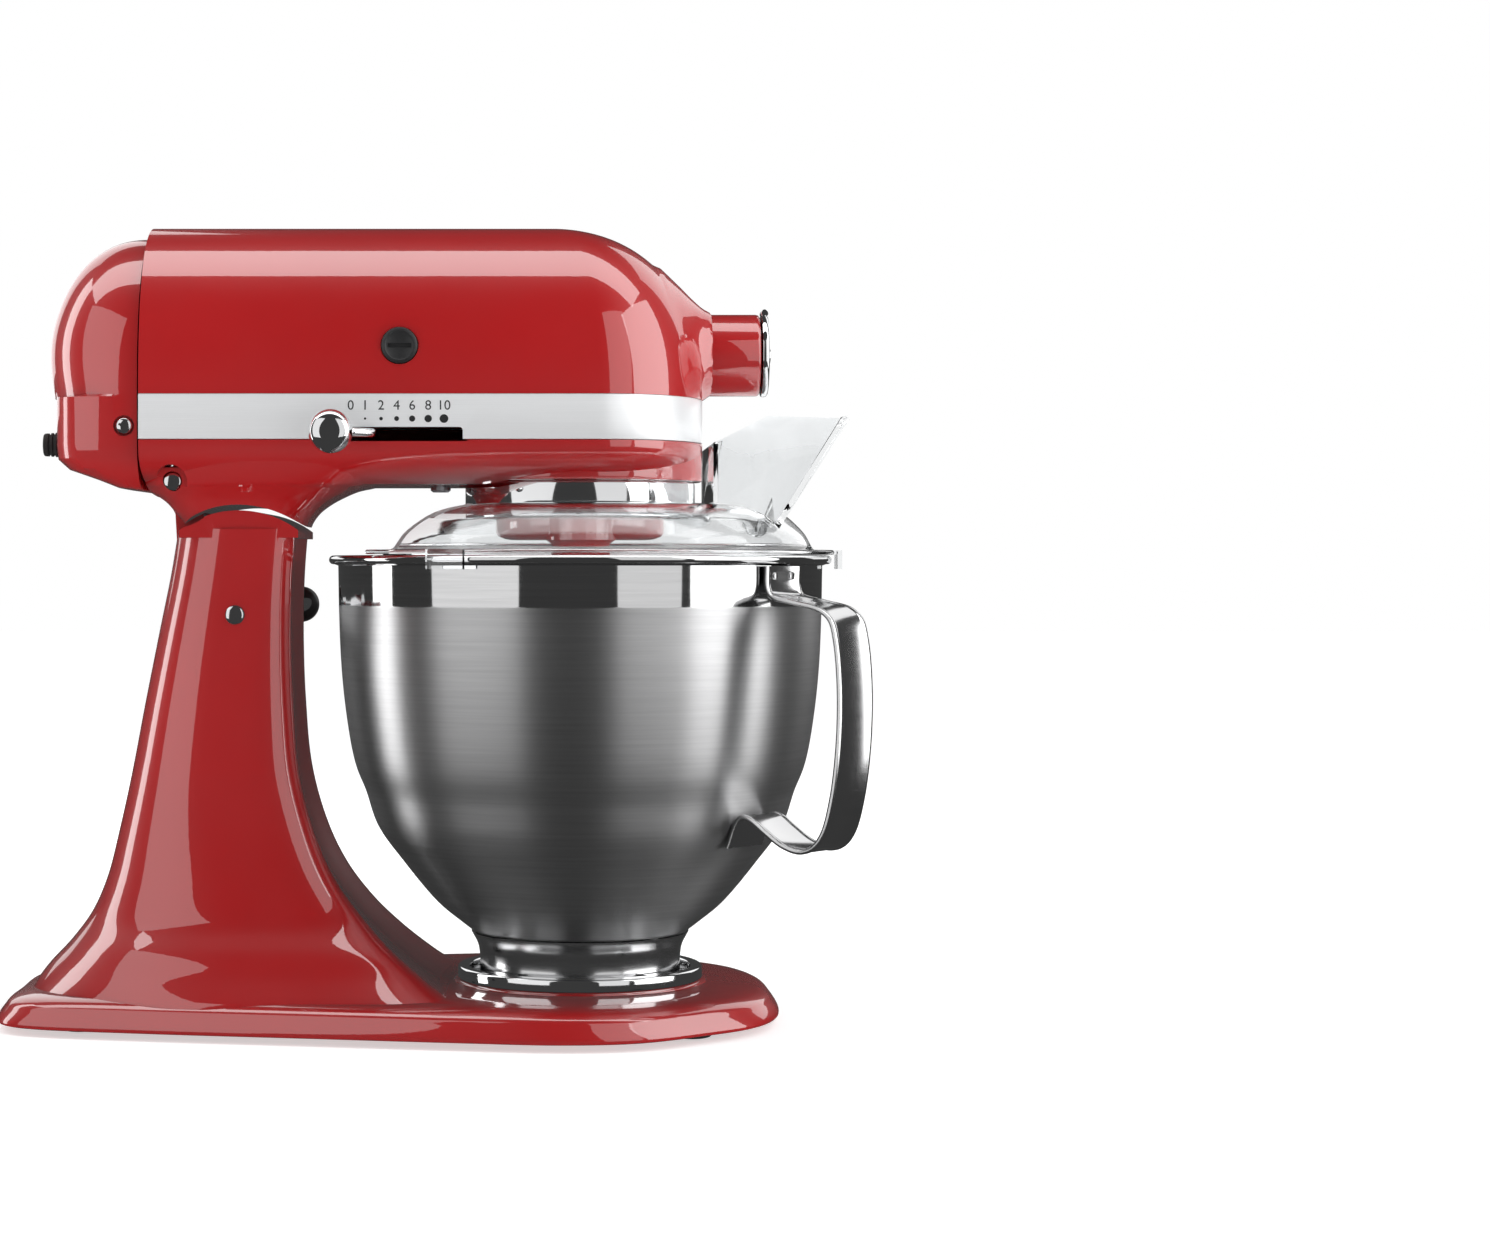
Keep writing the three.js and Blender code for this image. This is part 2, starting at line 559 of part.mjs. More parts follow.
// ---------------------------------------------------------------- motor
function motorStator() {
  const outline = range(24).map((i) => {
    const a = (TAU * i) / 24;
    return [44 * signedPower(Math.cos(a), 0.7), 44 * signedPower(Math.sin(a), 0.7) + SHAFT_Z];
  });
  return cut(prism(outline, "x", -172, -112), rod("x", 26, -180, -100, [0, 0, SHAFT_Z], 20));
}

function armatureCore() {
  const slots = gearOutline(12, 17, 24, 0, 0.36, 0.44);
  const core = prism(slots.map(([y, z]) => [y, z]), "x", -168, -116);
  return cut(core, rod("x", 5 + GAP, -200, -100)).translate(0, 0, SHAFT_Z);
}

function coolingFan() {
  const blade = box([-190, -1, 9], [-179, 1, 40]);
  const blades = range(9).map((i) => blade.clone().rotateX((TAU * i) / 9));
  const hub = rod("x", 11, -190, -178, [0, 0, 0], 24);
  const fan = join(hub, rod("x", 41, -179.5, -177.5, [0, 0, 0], 24), ...blades);
  return cut(fan, rod("x", 5 + GAP, -200, -170)).translate(0, 0, SHAFT_Z);
}

// The worm's single thread climbs one wheel tooth per turn.
function armatureShaft() {
  const length = WORM.turns * WORM_LEAD;
  const rows = WORM.turns * 8;
  const sides = 16;
  const worm = loft(range(rows + 1).map((row) => {
    const x = WORM.x - length / 2 + (length * row) / rows;
    const crest = (TAU * (x - WORM.x)) / WORM_LEAD;
    return range(sides).map((i) => {
      const a = (TAU * i) / sides;
      const away = Math.abs(((a - crest) / TAU) - Math.round((a - crest) / TAU));
      const height = THREE.MathUtils.clamp((0.25 - away) / 0.13, 0, 1);
      const r = lerp(WORM.rootR, WORM.tipR, height);
      return [x, r * Math.cos(a), r * Math.sin(a)];
    });
  }));
  const shaft = lathe([
    [0, -214], [4, -214], [4, -200], [5, -200], [5, -48], [3.2, -44], [3.2, -20], [0, -20],
  ], "x", [0, 0, 0], 16);
  return join(shaft, worm).translate(0, 0, SHAFT_Z);
}

function commutator() {
  return ring("x", 5 + GAP, 12, -96, -68, [0, 0, SHAFT_Z], 24);
}

// One side's parts in line from the commutator out to the side of the head.
function sideways(side, geometry) {
  return (side < 0 ? geometry.rotateZ(Math.PI) : geometry).translate(BRUSH_X, 0, SHAFT_Z);
}
const carbonBrush = (side) => sideways(side, box([-3.5, 12.4, -4], [3.5, 33, 4]));

function brushHolder(side) {
  return sideways(side, ring("y", 5.6, 7.6, 17, 55, [0, 0, 0], 14));
}

function brushCap(side) {
  const cap = lathe([[0, 56], [6, 56], [6, 60.5], [8, 60.5], [8, 66.2], [0, 66.2]], "y", [0, 0, 0], 18);
  return sideways(side, cut(cap, box([-9, 65, -0.9], [9, 68, 0.9])));
}

const controlBoard = () => box([-224, -28, 284], [-222, 28, 318]);

// ---------------------------------------------------------------- gear train
const MESH_ANGLE = Math.atan2(PINION.y, PINION.x);

function reductionShaft() {
  const gapPhase = Math.PI + MESH_ANGLE + Math.PI / PINION.teeth;
  const pinion = spurGear(PINION, gapPhase);
  const shaft = rod("z", 4, 254, 314, [0, 0, 0], 18);
  return join(pinion, shaft).translate(PINION.x, PINION.y, 0);
}

function wormWheel() {
  const { teeth, pitchR, face } = WORM_WHEEL;
  const phase = -Math.PI / 2 + Math.PI / teeth;
  const wheel = prism(gearOutline(teeth, pitchR - 2, pitchR + 1.1, phase, 0.27, 0.13),
    "z", SHAFT_Z - face, SHAFT_Z + face);
  return cut(wheel, rod("z", 4 + GAP, 290, 320)).translate(PINION.x, PINION.y, 0);
}

function centreGear() {
  return cut(spurGear(CENTRE_GEAR, MESH_ANGLE), rod("z", 6 + GAP, 255, 275));
}

function centreBevel() {
  const gear = bevelGear(0).translate(0, 0, SHAFT_Z);
  const hub = rod("z", 9, SHAFT_Z - BEVEL.pitchR - 5, SHAFT_Z - BEVEL.pitchR + 1);
  return cut(join(gear, hub), rod("z", 5 + GAP, 270, 310));
}

function planetaryShaft() {
  return lathe([[0, 220], [6, 220], [6, 276], [5, 276], [5, 294], [0, 294]]);
}

// Disc with a rounded lower edge, a bored boss for the beater spindle and a bore for its shaft.
function planetary() {
  const disc = lathe([
    [0, 217.4], [29, 217.4], [34, 218.6], [37.6, 221.6], [38.7, 225], [38.7, 229.5], [0, 229.5],
  ], "z", [0, 0, 0], 32);
  const boss = lathe([
    [0, 204], [11.5, 204], [13.2, 206], [13.2, 214], [16, 217.4], [16, 229.5], [0, 229.5],
  ], "z", [0, -PLANET.offset, 0], 24);
  const shaftBore = rod("z", 6 + GAP, 219.5, 240);
  return cut(join(disc, boss), shaftBore, rod("z", 5.3 + GAP, 190, 240, [0, -PLANET.offset, 0]));
}

function beaterSpindle() {
  const spindle = lathe([
    [0, 180], [5.3, 180], [6.3, 181], [6.3, 203.6], [5.3, 203.6], [5.3, 233.4], [4, 233.4], [4, 244],
    [0, 244],
  ], "z", [0, 0, 0], 16);
  const crossPin = rod("x", 1.8, -11, 11, [0, 0, 190], 12);
  return join(spindle, crossPin).translate(0, -PLANET.offset, 0);
}

function planetPinion() {
  const gear = spurGear(PLANET, -Math.PI / 2);
  return cut(gear, rod("z", 4 + GAP, 230, 250)).translate(0, -PLANET.offset, 0);
}

function ringGear() {
  const { teeth, module, outerR, bottom, top } = RING_GEAR;
  const pitchR = (teeth * module) / 2;
  const hole = gearOutline(teeth, pitchR - 0.85 * module, pitchR + 1.25 * module, -Math.PI / 2, 0.37, 0.22);
  return cut(rod("z", outerR, bottom, top, [0, 0, 0], 25), prism(hole, "z", bottom - 5, top + 5));
}

function dripRing() {
  const profile = [
    [49.9, 229.6], [52, 229.6], [52.6, 230.4], [52.6, 244.3], [49.9, 244.3], [49.9, 229.6],
  ];
  return lathe(profile, "z", [0, 0, 0], 36);
}

// Sets the beater's height over the bowl; its head shows under the gearcase.
function heightAdjustScrew() {
  const profile = [[0, 240.2], [3.6, 240.2], [4.6, 241], [4.6, 242.6], [2.7, 242.6], [2.7, 257], [0, 257]];
  const slot = box([-5, -0.6, 239], [5, 0.6, 241]);
  return cut(lathe(profile, "z", [0, 0, 0], 16), slot).translate(HEIGHT_SCREW_X, 0, 0);
}

const shaftBearing = (x, r) => ring("x", r + 0.25, 9, x - 4, x + 4, [0, 0, SHAFT_Z], 16);

// ---------------------------------------------------------------- attachment hub
function hubDrive() {
  const gear = bevelGear(-Math.PI / 2 + Math.PI / BEVEL.teeth);
  gear.applyMatrix4(new THREE.Matrix4().makeBasis(
    new THREE.Vector3(0, 1, 0), new THREE.Vector3(0, 0, 1), new THREE.Vector3(1, 0, 0)));
  gear.applyMatrix4(new THREE.Matrix4().makeScale(-1, 1, 1));
  const shaft = rod("x", 8, BEVEL.pitchR - 0.5, 60);
  const square = box([38, -4.8, -4.8], [70, 4.8, 4.8]);
  return cut(join(gear, shaft), square).translate(0, 0, SHAFT_Z);
}

function hubCover() {
  const disc = lathe([
    [0, 82.8], [18.6, 82.8], [19, 83.3], [19, 85], [17.8, 86], [4, 86.5], [3.7, 87.2], [0, 87.4],
  ], "x", [0, 0, SHAFT_Z], 24);
  return join(disc, rod("y", 1.7, -5, 5, [84.5, 0, SHAFT_Z + 19.2], 10));
}

function attachmentKnob() {
  const outline = range(30).map((i) => {
    const a = (TAU * i) / 30;
    const r = 10.6 + 0.5 * Math.cos(10 * a);
    return [KNOB_X + r * Math.cos(a), SHAFT_Z + r * Math.sin(a)];
  });
  return prism(outline, "y", 45, 61);
}

function attachmentScrew() {
  return rod("y", 3, 16.5, 45 - GAP, [KNOB_X, 0, SHAFT_Z], 14);
}

// ---------------------------------------------------------------- speed lever
function speedRod() {
  return tube([
    [SPEED.x, -50, SPEED.z], [SPEED.x, -60, SPEED.z], [SPEED.x - 1, -67.5, SPEED.z],
    [SPEED.x - 8, -74, SPEED.z], [SPEED.x - 16.5, -77, SPEED.z],
  ], 2, 12, 8);
}

function speedKnob() {
  const profile = [
    [0, -91], [5, -90.8], [8, -89.2], [9.5, -86], [9.5, -81], [8, -77.4], [5, -75.6], [0, -75.4],
  ];
  const knob = lathe(profile, "y", [SPEED.x - 17.6, 0, SPEED.z], 20);
  const socket = tube([
    [SPEED.x, -60, SPEED.z], [SPEED.x - 1, -67.5, SPEED.z], [SPEED.x - 8, -74, SPEED.z],
    [SPEED.x - 17.4, -77.3, SPEED.z],
  ], 2.5, 10, 8);
  return cut(knob, socket);
}

// ---------------------------------------------------------------- bowl
// The outside of the bowl from its foot to just under the rim, as [radius, height].
const BOWL_WALL = [
  [49, 39.8], [54.2, 43.8], [65.3, 53], [81, 71.8], [92.6, 88], [98.3, 104.4], [102.2, 113.9],
  [104.6, 123.3], [107.7, 143.5], [109.5, 163], [110.4, 185], [110.8, 206.6],
];

function bowlShell() {
  const inner = offsetLine(BOWL_WALL, BOWL.sheet).reverse();
  const { rimR, rimBottom, rimTop } = BOWL;
  const rim = [
    [rimR - 1, rimBottom], [rimR, rimBottom + 1.2], [rimR, rimTop - 1], [rimR - 1, rimTop], [110, rimTop],
  ];
  const floor = [[0, 42.4], [36, 42.2]];
  const under = [[0, 41.2], [36, 41]];
  return lathe([...under, ...BOWL_WALL, ...rim, ...inner, ...floor.reverse()], "z", [0, 0, 0], 32);
}

function bowlFoot() {
  const outer = [[46, 20.1], [45.9, 28], [46.8, 33.5], [49.8, 39.4]];
  const inner = outer.map(([r, z]) => [r - 1.3, z]).reverse();
  const skirt = lathe([...outer, ...inner, outer[0]], "z", [0, 0, 0], 32);
  const lugs = lugAngles.map((a) => sector(45.2, 49.6, LUG.half, a, 20.1, 21.9));
  return join(skirt, ...lugs);
}

const HANDLE_ANGLE = -39; // degrees from the nose, round to the operator's side
const HANDLE_HALF = 13;
// The strap's middle line in its own upright plane, from the top tab to the bottom tab.
const HANDLE_LINE = [
  [112.6, 206.3], [112.6, 197.5], [114.5, 193.6], [127, 190.6], [140, 187.6], [145.4, 183.4], [148, 175],
  [150, 155], [149.4, 130], [146, 106], [141.4, 91.6], [136.5, 85.8], [130, 83.6], [121, 85.6], [111, 91.6],
  [104, 96.2], [99.4, 97], [96.4, 94], [91.9, 83.2],
];

function bowlHandle() {
  const left = offsetLine(HANDLE_LINE, 1.1);
  const right = offsetLine(HANDLE_LINE, -1.1).reverse();
  const strap = prism([...left, ...right], "y", -HANDLE_HALF, HANDLE_HALF);
  const outside = lathe(
    [[0, 70], ...offsetLine(BOWL_WALL.slice(3), -GAP), [111.2, 208], [0, 208]], "z", [0, 0, 0], 72);
  return turnAboutZ(cut(strap, outside), HANDLE_ANGLE);
}

// ---------------------------------------------------------------- pouring shield and chute
const DOME = [
  [107.4, SHIELD.bottom + 2], [106.4, 214.4], [102.9, 220.7], [98.3, 225.7], [93, 230], [85.4, 233],
  [77.6, 234], [62.5, 234.4], [40, 234.5],
];

function slotOutline(grow) {
  const r = SHIELD.slotHalf - 0.5;
  const centre = SHIELD.slotFront - r;
  const arc = range(15).map((i) => {
    const a = -Math.PI / 2 + (Math.PI * i) / 14;
    return [centre + (r + grow) * Math.cos(a), (SHIELD.slotHalf + grow) * Math.sin(a)];
  });
  return [[-140, -SHIELD.slotHalf - grow], ...arc, [-140, SHIELD.slotHalf + grow]];
}

function pouringShield() {
  const inside = offsetLine(DOME, SHIELD.sheet);
  const cover = lathe([
    [105.2, SHIELD.bottom], [SHIELD.flangeR, SHIELD.bottom], [SHIELD.flangeR, SHIELD.bottom + 2],
    ...DOME, ...inside.slice(1).reverse(), [105.2, SHIELD.bottom],
  ], "z", [0, 0, 0], 36);
  const web = common(
    cut(prism(slotOutline(SHIELD.sheet), "z", 226.4, 233.6), prism(slotOutline(0), "z", 220, 240)),
    lathe([[0, 220], [97.6, 220], [97.6, 226.4], [90, 231], [84, 233.6], [0, 233.6]], "z", [0, 0, 0], 40),
  );
  const tongues = [-120, 120].map((a) => sector(112, 118.3, 4.5, a, SHIELD.bottom, SHIELD.bottom + 2));
  const hooks = [-120, 120].map((a) => sector(116.4, 118.3, 4.5, a, 205, SHIELD.bottom + 1));
  const frontTongue = sector(112, 119.8, 6, 0, SHIELD.bottom, SHIELD.bottom + 2);
  const frontHook = sector(117.8, 119.8, 4.5, 0, 205, SHIELD.bottom + 1);
  const body = join(cover, web, ...tongues, ...hooks, frontTongue, frontHook);
  const pourHole = box([62.5, -43, 215], [85, 43, 240]);
  return cut(body, prism(slotOutline(0), "z", 200, 250), pourHole);
}

function pouringChute() {
  const cheek = [[60, 216], [60, 261.4], [82.4, 272.6], [114.6, 271.8], [80, 216]];
  const side = (from, to) => prism(cheek, "y", from, to);
  const front = prism([[80, 216], [114.6, 271.8], [117.2, 272.6], [119, 271.6], [83, 216]], "y",
    -CHUTE_HALF, CHUTE_HALF);
  const panel = [[58.4, 216], [60.6, 216], [60.6, 261.4], [58.4, 260.4]];
  const back = prism(panel, "y", -CHUTE_HALF, CHUTE_HALF);
  const walls = join(side(-CHUTE_HALF, -CHUTE_HALF + 2), side(CHUTE_HALF - 2, CHUTE_HALF), front, back);
  const seat = lathe([[0, 200], [120, 200], [120, SHIELD.bottom + 2.4], ...offsetLine(DOME, -0.4), [0, 234.9]],
    "z", [0, 0, 0], 40);
  return cut(walls, seat);
}

// ---------------------------------------------------------------- assembly
function part(name, finish, geometry) {
  const [color, roughness, metalness] = FINISHES[finish];
  const shaded = geometry.clone();
  shaded.computeVertexNormals();
  const mesh = new THREE.Mesh(shaded, new THREE.MeshStandardMaterial({ color, roughness, metalness }));
  mesh.name = name;
  return mesh;
}

function body(name, ...members) {
  const group = new THREE.Group();
  group.name = name;
  group.add(...members);
  return group;
}

const stand = body("stand",
  part("stand_casting", "red_paint", standCasting()),
  part("bowl_clamp_plate", "chrome", bowlClampPlate()),
  ...CLAMP_SCREWS.map(([x, y], i) => part(`clamp_screw_${i + 1}`, "gear_steel", clampScrew(x, y))),
  ...FEET.map(([place, x, y]) => part(`foot_${place}`, "rubber", foot(x, y))),
  part("hinge_pin", "chrome", hingePin()),
);

const lockLever = body("lock_lever",
  part("lock_shaft", "chrome", lockShaft()),
  part("lock_knob", "black_plastic", lockKnob()),
);

const armature = body("armature",
  part("armature_shaft", "gear_steel", armatureShaft()),
  part("armature_core", "copper", armatureCore()),
  part("commutator", "brass", commutator()),
  part("cooling_fan", "black_plastic", coolingFan()),
);

const reduction = body("reduction_shaft_body",
  part("reduction_shaft", "gear_steel", reductionShaft()),
  part("worm_wheel", "brass", wormWheel()),
);

const beater = body("beater_drive",
  part("beater_spindle", "chrome", beaterSpindle()),
  part("planet_pinion", "gear_steel", planetPinion()),
);

const planetaryBody = body("planetary_body",
  part("planetary", "red_paint", planetary()),
  part("planetary_shaft", "gear_steel", planetaryShaft()),
  part("centre_gear", "gear_steel", centreGear()),
  part("centre_bevel", "gear_steel", centreBevel()),
  beater,
);

const sides = [["left", -1], ["right", 1]];
const head = body("head",
  part("upper_housing", "red_paint", upperHousing()),
  part("lower_gearcase", "red_paint", lowerGearcase()),
  part("trim_band", "trim_aluminium", trimBand()),
  part("end_cap", "red_paint", endCap()),
  part("cord_gland", "rubber", cordGland()),
  part("control_board", "board_green", controlBoard()),
  part("motor_stator", "gear_steel", motorStator()),
  part("rear_bearing", "brass", shaftBearing(-208, 4)),
  part("front_bearing", "brass", shaftBearing(-54, 5)),
  part("ring_gear", "gear_steel", ringGear()),
  part("drip_ring", "chrome", dripRing()),
  ...sides.flatMap(([name, side]) => [
    part(`brush_cap_${name}`, "black_plastic", brushCap(side)),
    part(`brush_holder_${name}`, "brass", brushHolder(side)),
    part(`carbon_brush_${name}`, "carbon", carbonBrush(side)),
    part(`end_cap_screw_${name}`, "chrome", endCapScrew(side)),
  ]),
  armature,
  reduction,
  planetaryBody,
  body("height_screw_body", part("height_adjust_screw", "gear_steel", heightAdjustScrew())),
  body("hub_drive_body", part("hub_drive", "gear_steel", hubDrive())),
  body("hub_cover_body", part("hub_cover", "chrome", hubCover())),
  body("attachment_knob_body",
    part("attachment_knob", "black_plastic", attachmentKnob()),
    part("attachment_screw", "gear_steel", attachmentScrew()),
  ),
  body("speed_lever",
    part("speed_lever_rod", "chrome", speedRod()),
    part("speed_lever_knob", "chrome", speedKnob()),
  ),
);

const bowl = body("bowl_body",
  part("bowl", "brushed_steel", bowlShell()),
  part("bowl_foot", "polished_steel", bowlFoot()),
  part("bowl_handle", "polished_steel", bowlHandle()),
);

const shield = body("shield_body",
  part("pouring_shield", "clear_plastic", pouringShield()),
  body("chute_body", part("pouring_chute", "clear_plastic", pouringChute())),
);

const machine = body("stand_mixer", stand, lockLever, head, bowl, shield);
machine.position.x = FRAME_X;

export default machine;
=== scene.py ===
"""Looks of the tilt-head stand mixer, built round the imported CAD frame.

Shapes are worked out in the design frame, in millimetres, with the mixing axis at X = 0 and the
mirror plane at Y = 0, and are placed in the CAD's own frame, in metres, when a piece is made.
"""

import json
import math

import bmesh
import bpy
import numpy as np
from mathutils import Matrix, Vector


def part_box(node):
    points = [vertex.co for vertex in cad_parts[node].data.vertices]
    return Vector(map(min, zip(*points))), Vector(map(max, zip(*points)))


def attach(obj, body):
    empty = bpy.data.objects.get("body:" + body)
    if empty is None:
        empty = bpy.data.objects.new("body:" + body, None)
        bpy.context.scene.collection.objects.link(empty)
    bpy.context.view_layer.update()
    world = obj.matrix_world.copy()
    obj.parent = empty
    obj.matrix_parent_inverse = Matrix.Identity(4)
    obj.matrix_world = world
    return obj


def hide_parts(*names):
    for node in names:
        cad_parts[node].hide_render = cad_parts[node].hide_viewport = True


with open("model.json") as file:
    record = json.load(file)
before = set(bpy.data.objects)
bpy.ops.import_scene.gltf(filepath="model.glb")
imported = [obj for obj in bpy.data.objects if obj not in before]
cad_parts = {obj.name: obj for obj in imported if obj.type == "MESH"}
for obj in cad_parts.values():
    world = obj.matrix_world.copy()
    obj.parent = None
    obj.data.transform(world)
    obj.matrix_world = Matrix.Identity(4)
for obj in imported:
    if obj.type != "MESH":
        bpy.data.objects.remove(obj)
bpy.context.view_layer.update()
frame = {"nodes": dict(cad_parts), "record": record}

MM = 0.001
TAU = 2 * math.pi
AXIS_X = 500 * sum(corner[0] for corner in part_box("drip_ring"))  # of the mixing axis, in mm


# ---------------------------------------------------------------- camera, stage and light
SENSOR = 36.0  # in mm, across the picture
LENS = 72.4832  # in mm
CAMERA_AT = (-13.8, -1378.0, 206.4)  # level with the bowl's rim, square to the machine's side
SHIFT_X, SHIFT_Y = 0.130872, -0.039597  # of the lens, in widths of the picture


def add_camera():
    data = bpy.data.cameras.new("camera")
    data.lens = LENS
    data.sensor_width = SENSOR
    data.shift_x = SHIFT_X
    data.shift_y = SHIFT_Y
    camera = bpy.data.objects.new("camera", data)
    bpy.context.scene.collection.objects.link(camera)
    camera.location = Vector((CAMERA_AT[0] + AXIS_X, CAMERA_AT[1], CAMERA_AT[2])) * MM
    camera.rotation_euler = (math.pi / 2, 0, 0)
    bpy.context.scene.camera = camera


def add_softbox(name, azimuth, elevation, distance, size, glow, lift=0.2):
    """A rectangular light of a given radiance. Azimuth 0 is the camera's side and 90 is the nose's side."""
    a, e = math.radians(azimuth), math.radians(elevation)
    aim = Vector(((AXIS_X - 70) * MM, 0, lift))
    out = Vector((math.sin(a) * math.cos(e), -math.cos(a) * math.cos(e), math.sin(e)))
    data = bpy.data.lights.new(name, "AREA")
    data.shape = "RECTANGLE"
    data.size, data.size_y = size
    data.energy = glow * math.pi * size[0] * size[1]
    light = bpy.data.objects.new(name, data)
    bpy.context.scene.collection.objects.link(light)
    light.location = aim + out * distance
    light.rotation_euler = (-out).to_track_quat("-Z", "Y").to_euler()


def add_world():
    """White behind the object, and dim to reflections, as in a studio with dark surroundings."""
    world = bpy.data.worlds.new("studio")
    bpy.context.scene.world = world
    world.use_nodes = True
    nodes, links = world.node_tree.nodes, world.node_tree.links
    nodes.clear()
    path = nodes.new("ShaderNodeLightPath")
    straight = nodes.new("ShaderNodeMath")
    straight.operation = "MAXIMUM"
    seen = nodes.new("ShaderNodeBackground")
    seen.inputs["Color"].default_value = (1, 1, 1, 1)
    around = nodes.new("ShaderNodeBackground")
    around.inputs["Color"].default_value = (1, 1, 1, 1)
    around.inputs["Strength"].default_value = 0.05
    mix = nodes.new("ShaderNodeMixShader")
    output = nodes.new("ShaderNodeOutputWorld")
    links.new(path.outputs["Is Camera Ray"], straight.inputs[0])
    links.new(path.outputs["Is Transmission Ray"], straight.inputs[1])
    links.new(straight.outputs[0], mix.inputs["Fac"])
    links.new(around.outputs[0], mix.inputs[1])
    links.new(seen.outputs[0], mix.inputs[2])
    links.new(mix.outputs[0], output.inputs["Surface"])


def add_stage():
    """A large pale floor. It glows more with distance, so that it meets the backdrop without a line."""
    size = 8.0
    corners = [(-size, -size, 0), (size, -size, 0), (size, size, 0), (-size, size, 0)]
    mesh = bpy.data.meshes.new("floor")
    mesh.from_pydata(corners, [], [(0, 1, 2, 3)])
    floor = bpy.data.objects.new("floor", mesh)
    bpy.context.scene.collection.objects.link(floor)
    floor.visible_glossy = False
    material = bpy.data.materials.new("floor")
    material.use_nodes = True
    nodes, links = material.node_tree.nodes, material.node_tree.links
    shader = nodes["Principled BSDF"]
    shader.inputs["Base Color"].default_value = (0.7, 0.7, 0.7, 1)
    shader.inputs["Roughness"].default_value = 0.6
    shader.inputs["Specular IOR Level"].default_value = 0.0
    shader.inputs["Emission Color"].default_value = (1, 1, 1, 1)
    place = nodes.new("ShaderNodeTexCoord")
    length = nodes.new("ShaderNodeVectorMath")
    length.operation = "LENGTH"
    glow = nodes.new("ShaderNodeMapRange")
    glow.inputs["From Min"].default_value = 0.25
    glow.inputs["From Max"].default_value = 0.9
    glow.inputs["To Min"].default_value = 0.55
    glow.inputs["To Max"].default_value = 1.0
    links.new(place.outputs["Object"], length.inputs[0])
    links.new(length.outputs["Value"], glow.inputs["Value"])
    links.new(glow.outputs["Result"], shader.inputs["Emission Strength"])
    mesh.materials.append(material)


def set_up_scene():
    add_camera()
    add_world()
    add_stage()
    add_softbox("overhead", 0, 84, 1.2, (2.8, 0.72), 2.6, lift=0.33)
    add_softbox("left_strip", -104, 12, 1.2, (0.34, 1.5), 3.0)
    add_softbox("left_front", -48, 14, 1.4, (1.2, 1.5), 0.95)
    add_softbox("right_side", 74, 14, 1.4, (1.2, 1.5), 2.4)
    add_softbox("right_front", 33, 14, 1.4, (0.75, 1.5), 0.85)
    add_softbox("back_left", -150, 25, 1.6, (0.8, 1.2), 1.2)
    add_softbox("back_right", 140, 25, 1.6, (0.8, 1.2), 1.2)
    bpy.context.scene.view_settings.view_transform = "Standard"


# ---------------------------------------------------------------- node materials
class Nodes:
    """A short way to write a material's node tree."""

    def __init__(self, name):
        self.material = bpy.data.materials.new(name)
        self.material.use_nodes = True
        self.tree = self.material.node_tree
        self.shader = self.tree.nodes["Principled BSDF"]
        self.coords = self.add("ShaderNodeTexCoord")

    def add(self, kind, **settings):
        node = self.tree.nodes.new(kind)
        for key, value in settings.items():
            setattr(node, key, value)
        return node

    def link(self, output, target):
        self.tree.links.new(output, target)
        return target

    def set(self, **values):
        for key, value in values.items():
            self.shader.inputs[key.replace("_", " ")].default_value = value

    def scaled(self, scale):
        """Object coordinates, in metres, times a scale for each axis."""
        mapping = self.add("ShaderNodeMapping")
        mapping.inputs["Scale"].default_value = scale
        self.link(self.coords.outputs["Object"], mapping.inputs["Vector"])
        return mapping.outputs["Vector"]

    def noise(self, scale, detail=2.0, rough=0.5, vector=None):
        node = self.add("ShaderNodeTexNoise")
        node.inputs["Scale"].default_value = scale
        node.inputs["Detail"].default_value = detail
        node.inputs["Roughness"].default_value = rough
        self.link(vector or self.coords.outputs["Object"], node.inputs["Vector"])
        return node.outputs["Fac"]

    def ramp(self, factor, stops):
        node = self.add("ShaderNodeValToRGB")
        elements = node.color_ramp.elements
        while len(elements) < len(stops):
            elements.new(0.5)
        for element, (place, color) in zip(elements, stops):
            element.position = place
            element.color = (*color, 1) if isinstance(color, tuple) else (color, color, color, 1)
        self.link(factor, node.inputs["Fac"])
        return node.outputs["Color"]

    def spread(self, factor, low, high):
        """Maps a 0 to 1 factor onto low to high."""
        node = self.add("ShaderNodeMapRange")
        node.inputs["To Min"].default_value = low
        node.inputs["To Max"].default_value = high
        self.link(factor, node.inputs["Value"])
        return node.outputs["Result"]

    def bump(self, height, strength, distance=0.001, before=None):
        node = self.add("ShaderNodeBump")
        node.inputs["Strength"].default_value = strength
        node.inputs["Distance"].default_value = distance
        self.link(height, node.inputs["Height"])
        if before:
            self.link(before, node.inputs["Normal"])
        return node.outputs["Normal"]

    def finish(self, color=None, roughness=None, normal=None, coat_normal=None):
        for output, socket in (
            (color, "Base Color"), (roughness, "Roughness"), (normal, "Normal"),
            (coat_normal, "Coat Normal"),
        ):
            if output:
                self.link(output, self.shader.inputs[socket])
        return self.material


def red_enamel():
    n = Nodes("red_enamel")
    n.set(Coat_Weight=1.0, Coat_Roughness=0.02, Coat_IOR=2.0, IOR=1.45)
    tone = n.noise(9, 3)
    color = n.ramp(tone, [(0.3, (0.395, 0.001, 0.0022)), (0.7, (0.44, 0.0011, 0.0028))])
    peel = n.bump(n.noise(420, 1), 0.02, 0.0004)
    return n.finish(color, n.spread(n.noise(60), 0.34, 0.42), coat_normal=peel)


def chrome():
    n = Nodes("chrome")
    n.set(Metallic=1.0)
    color = n.ramp(n.noise(30), [(0.3, (0.74, 0.745, 0.755)), (0.7, (0.82, 0.825, 0.83))])
    return n.finish(color, n.spread(n.noise(90, 4), 0.03, 0.09), n.bump(n.noise(300), 0.01, 0.0003))


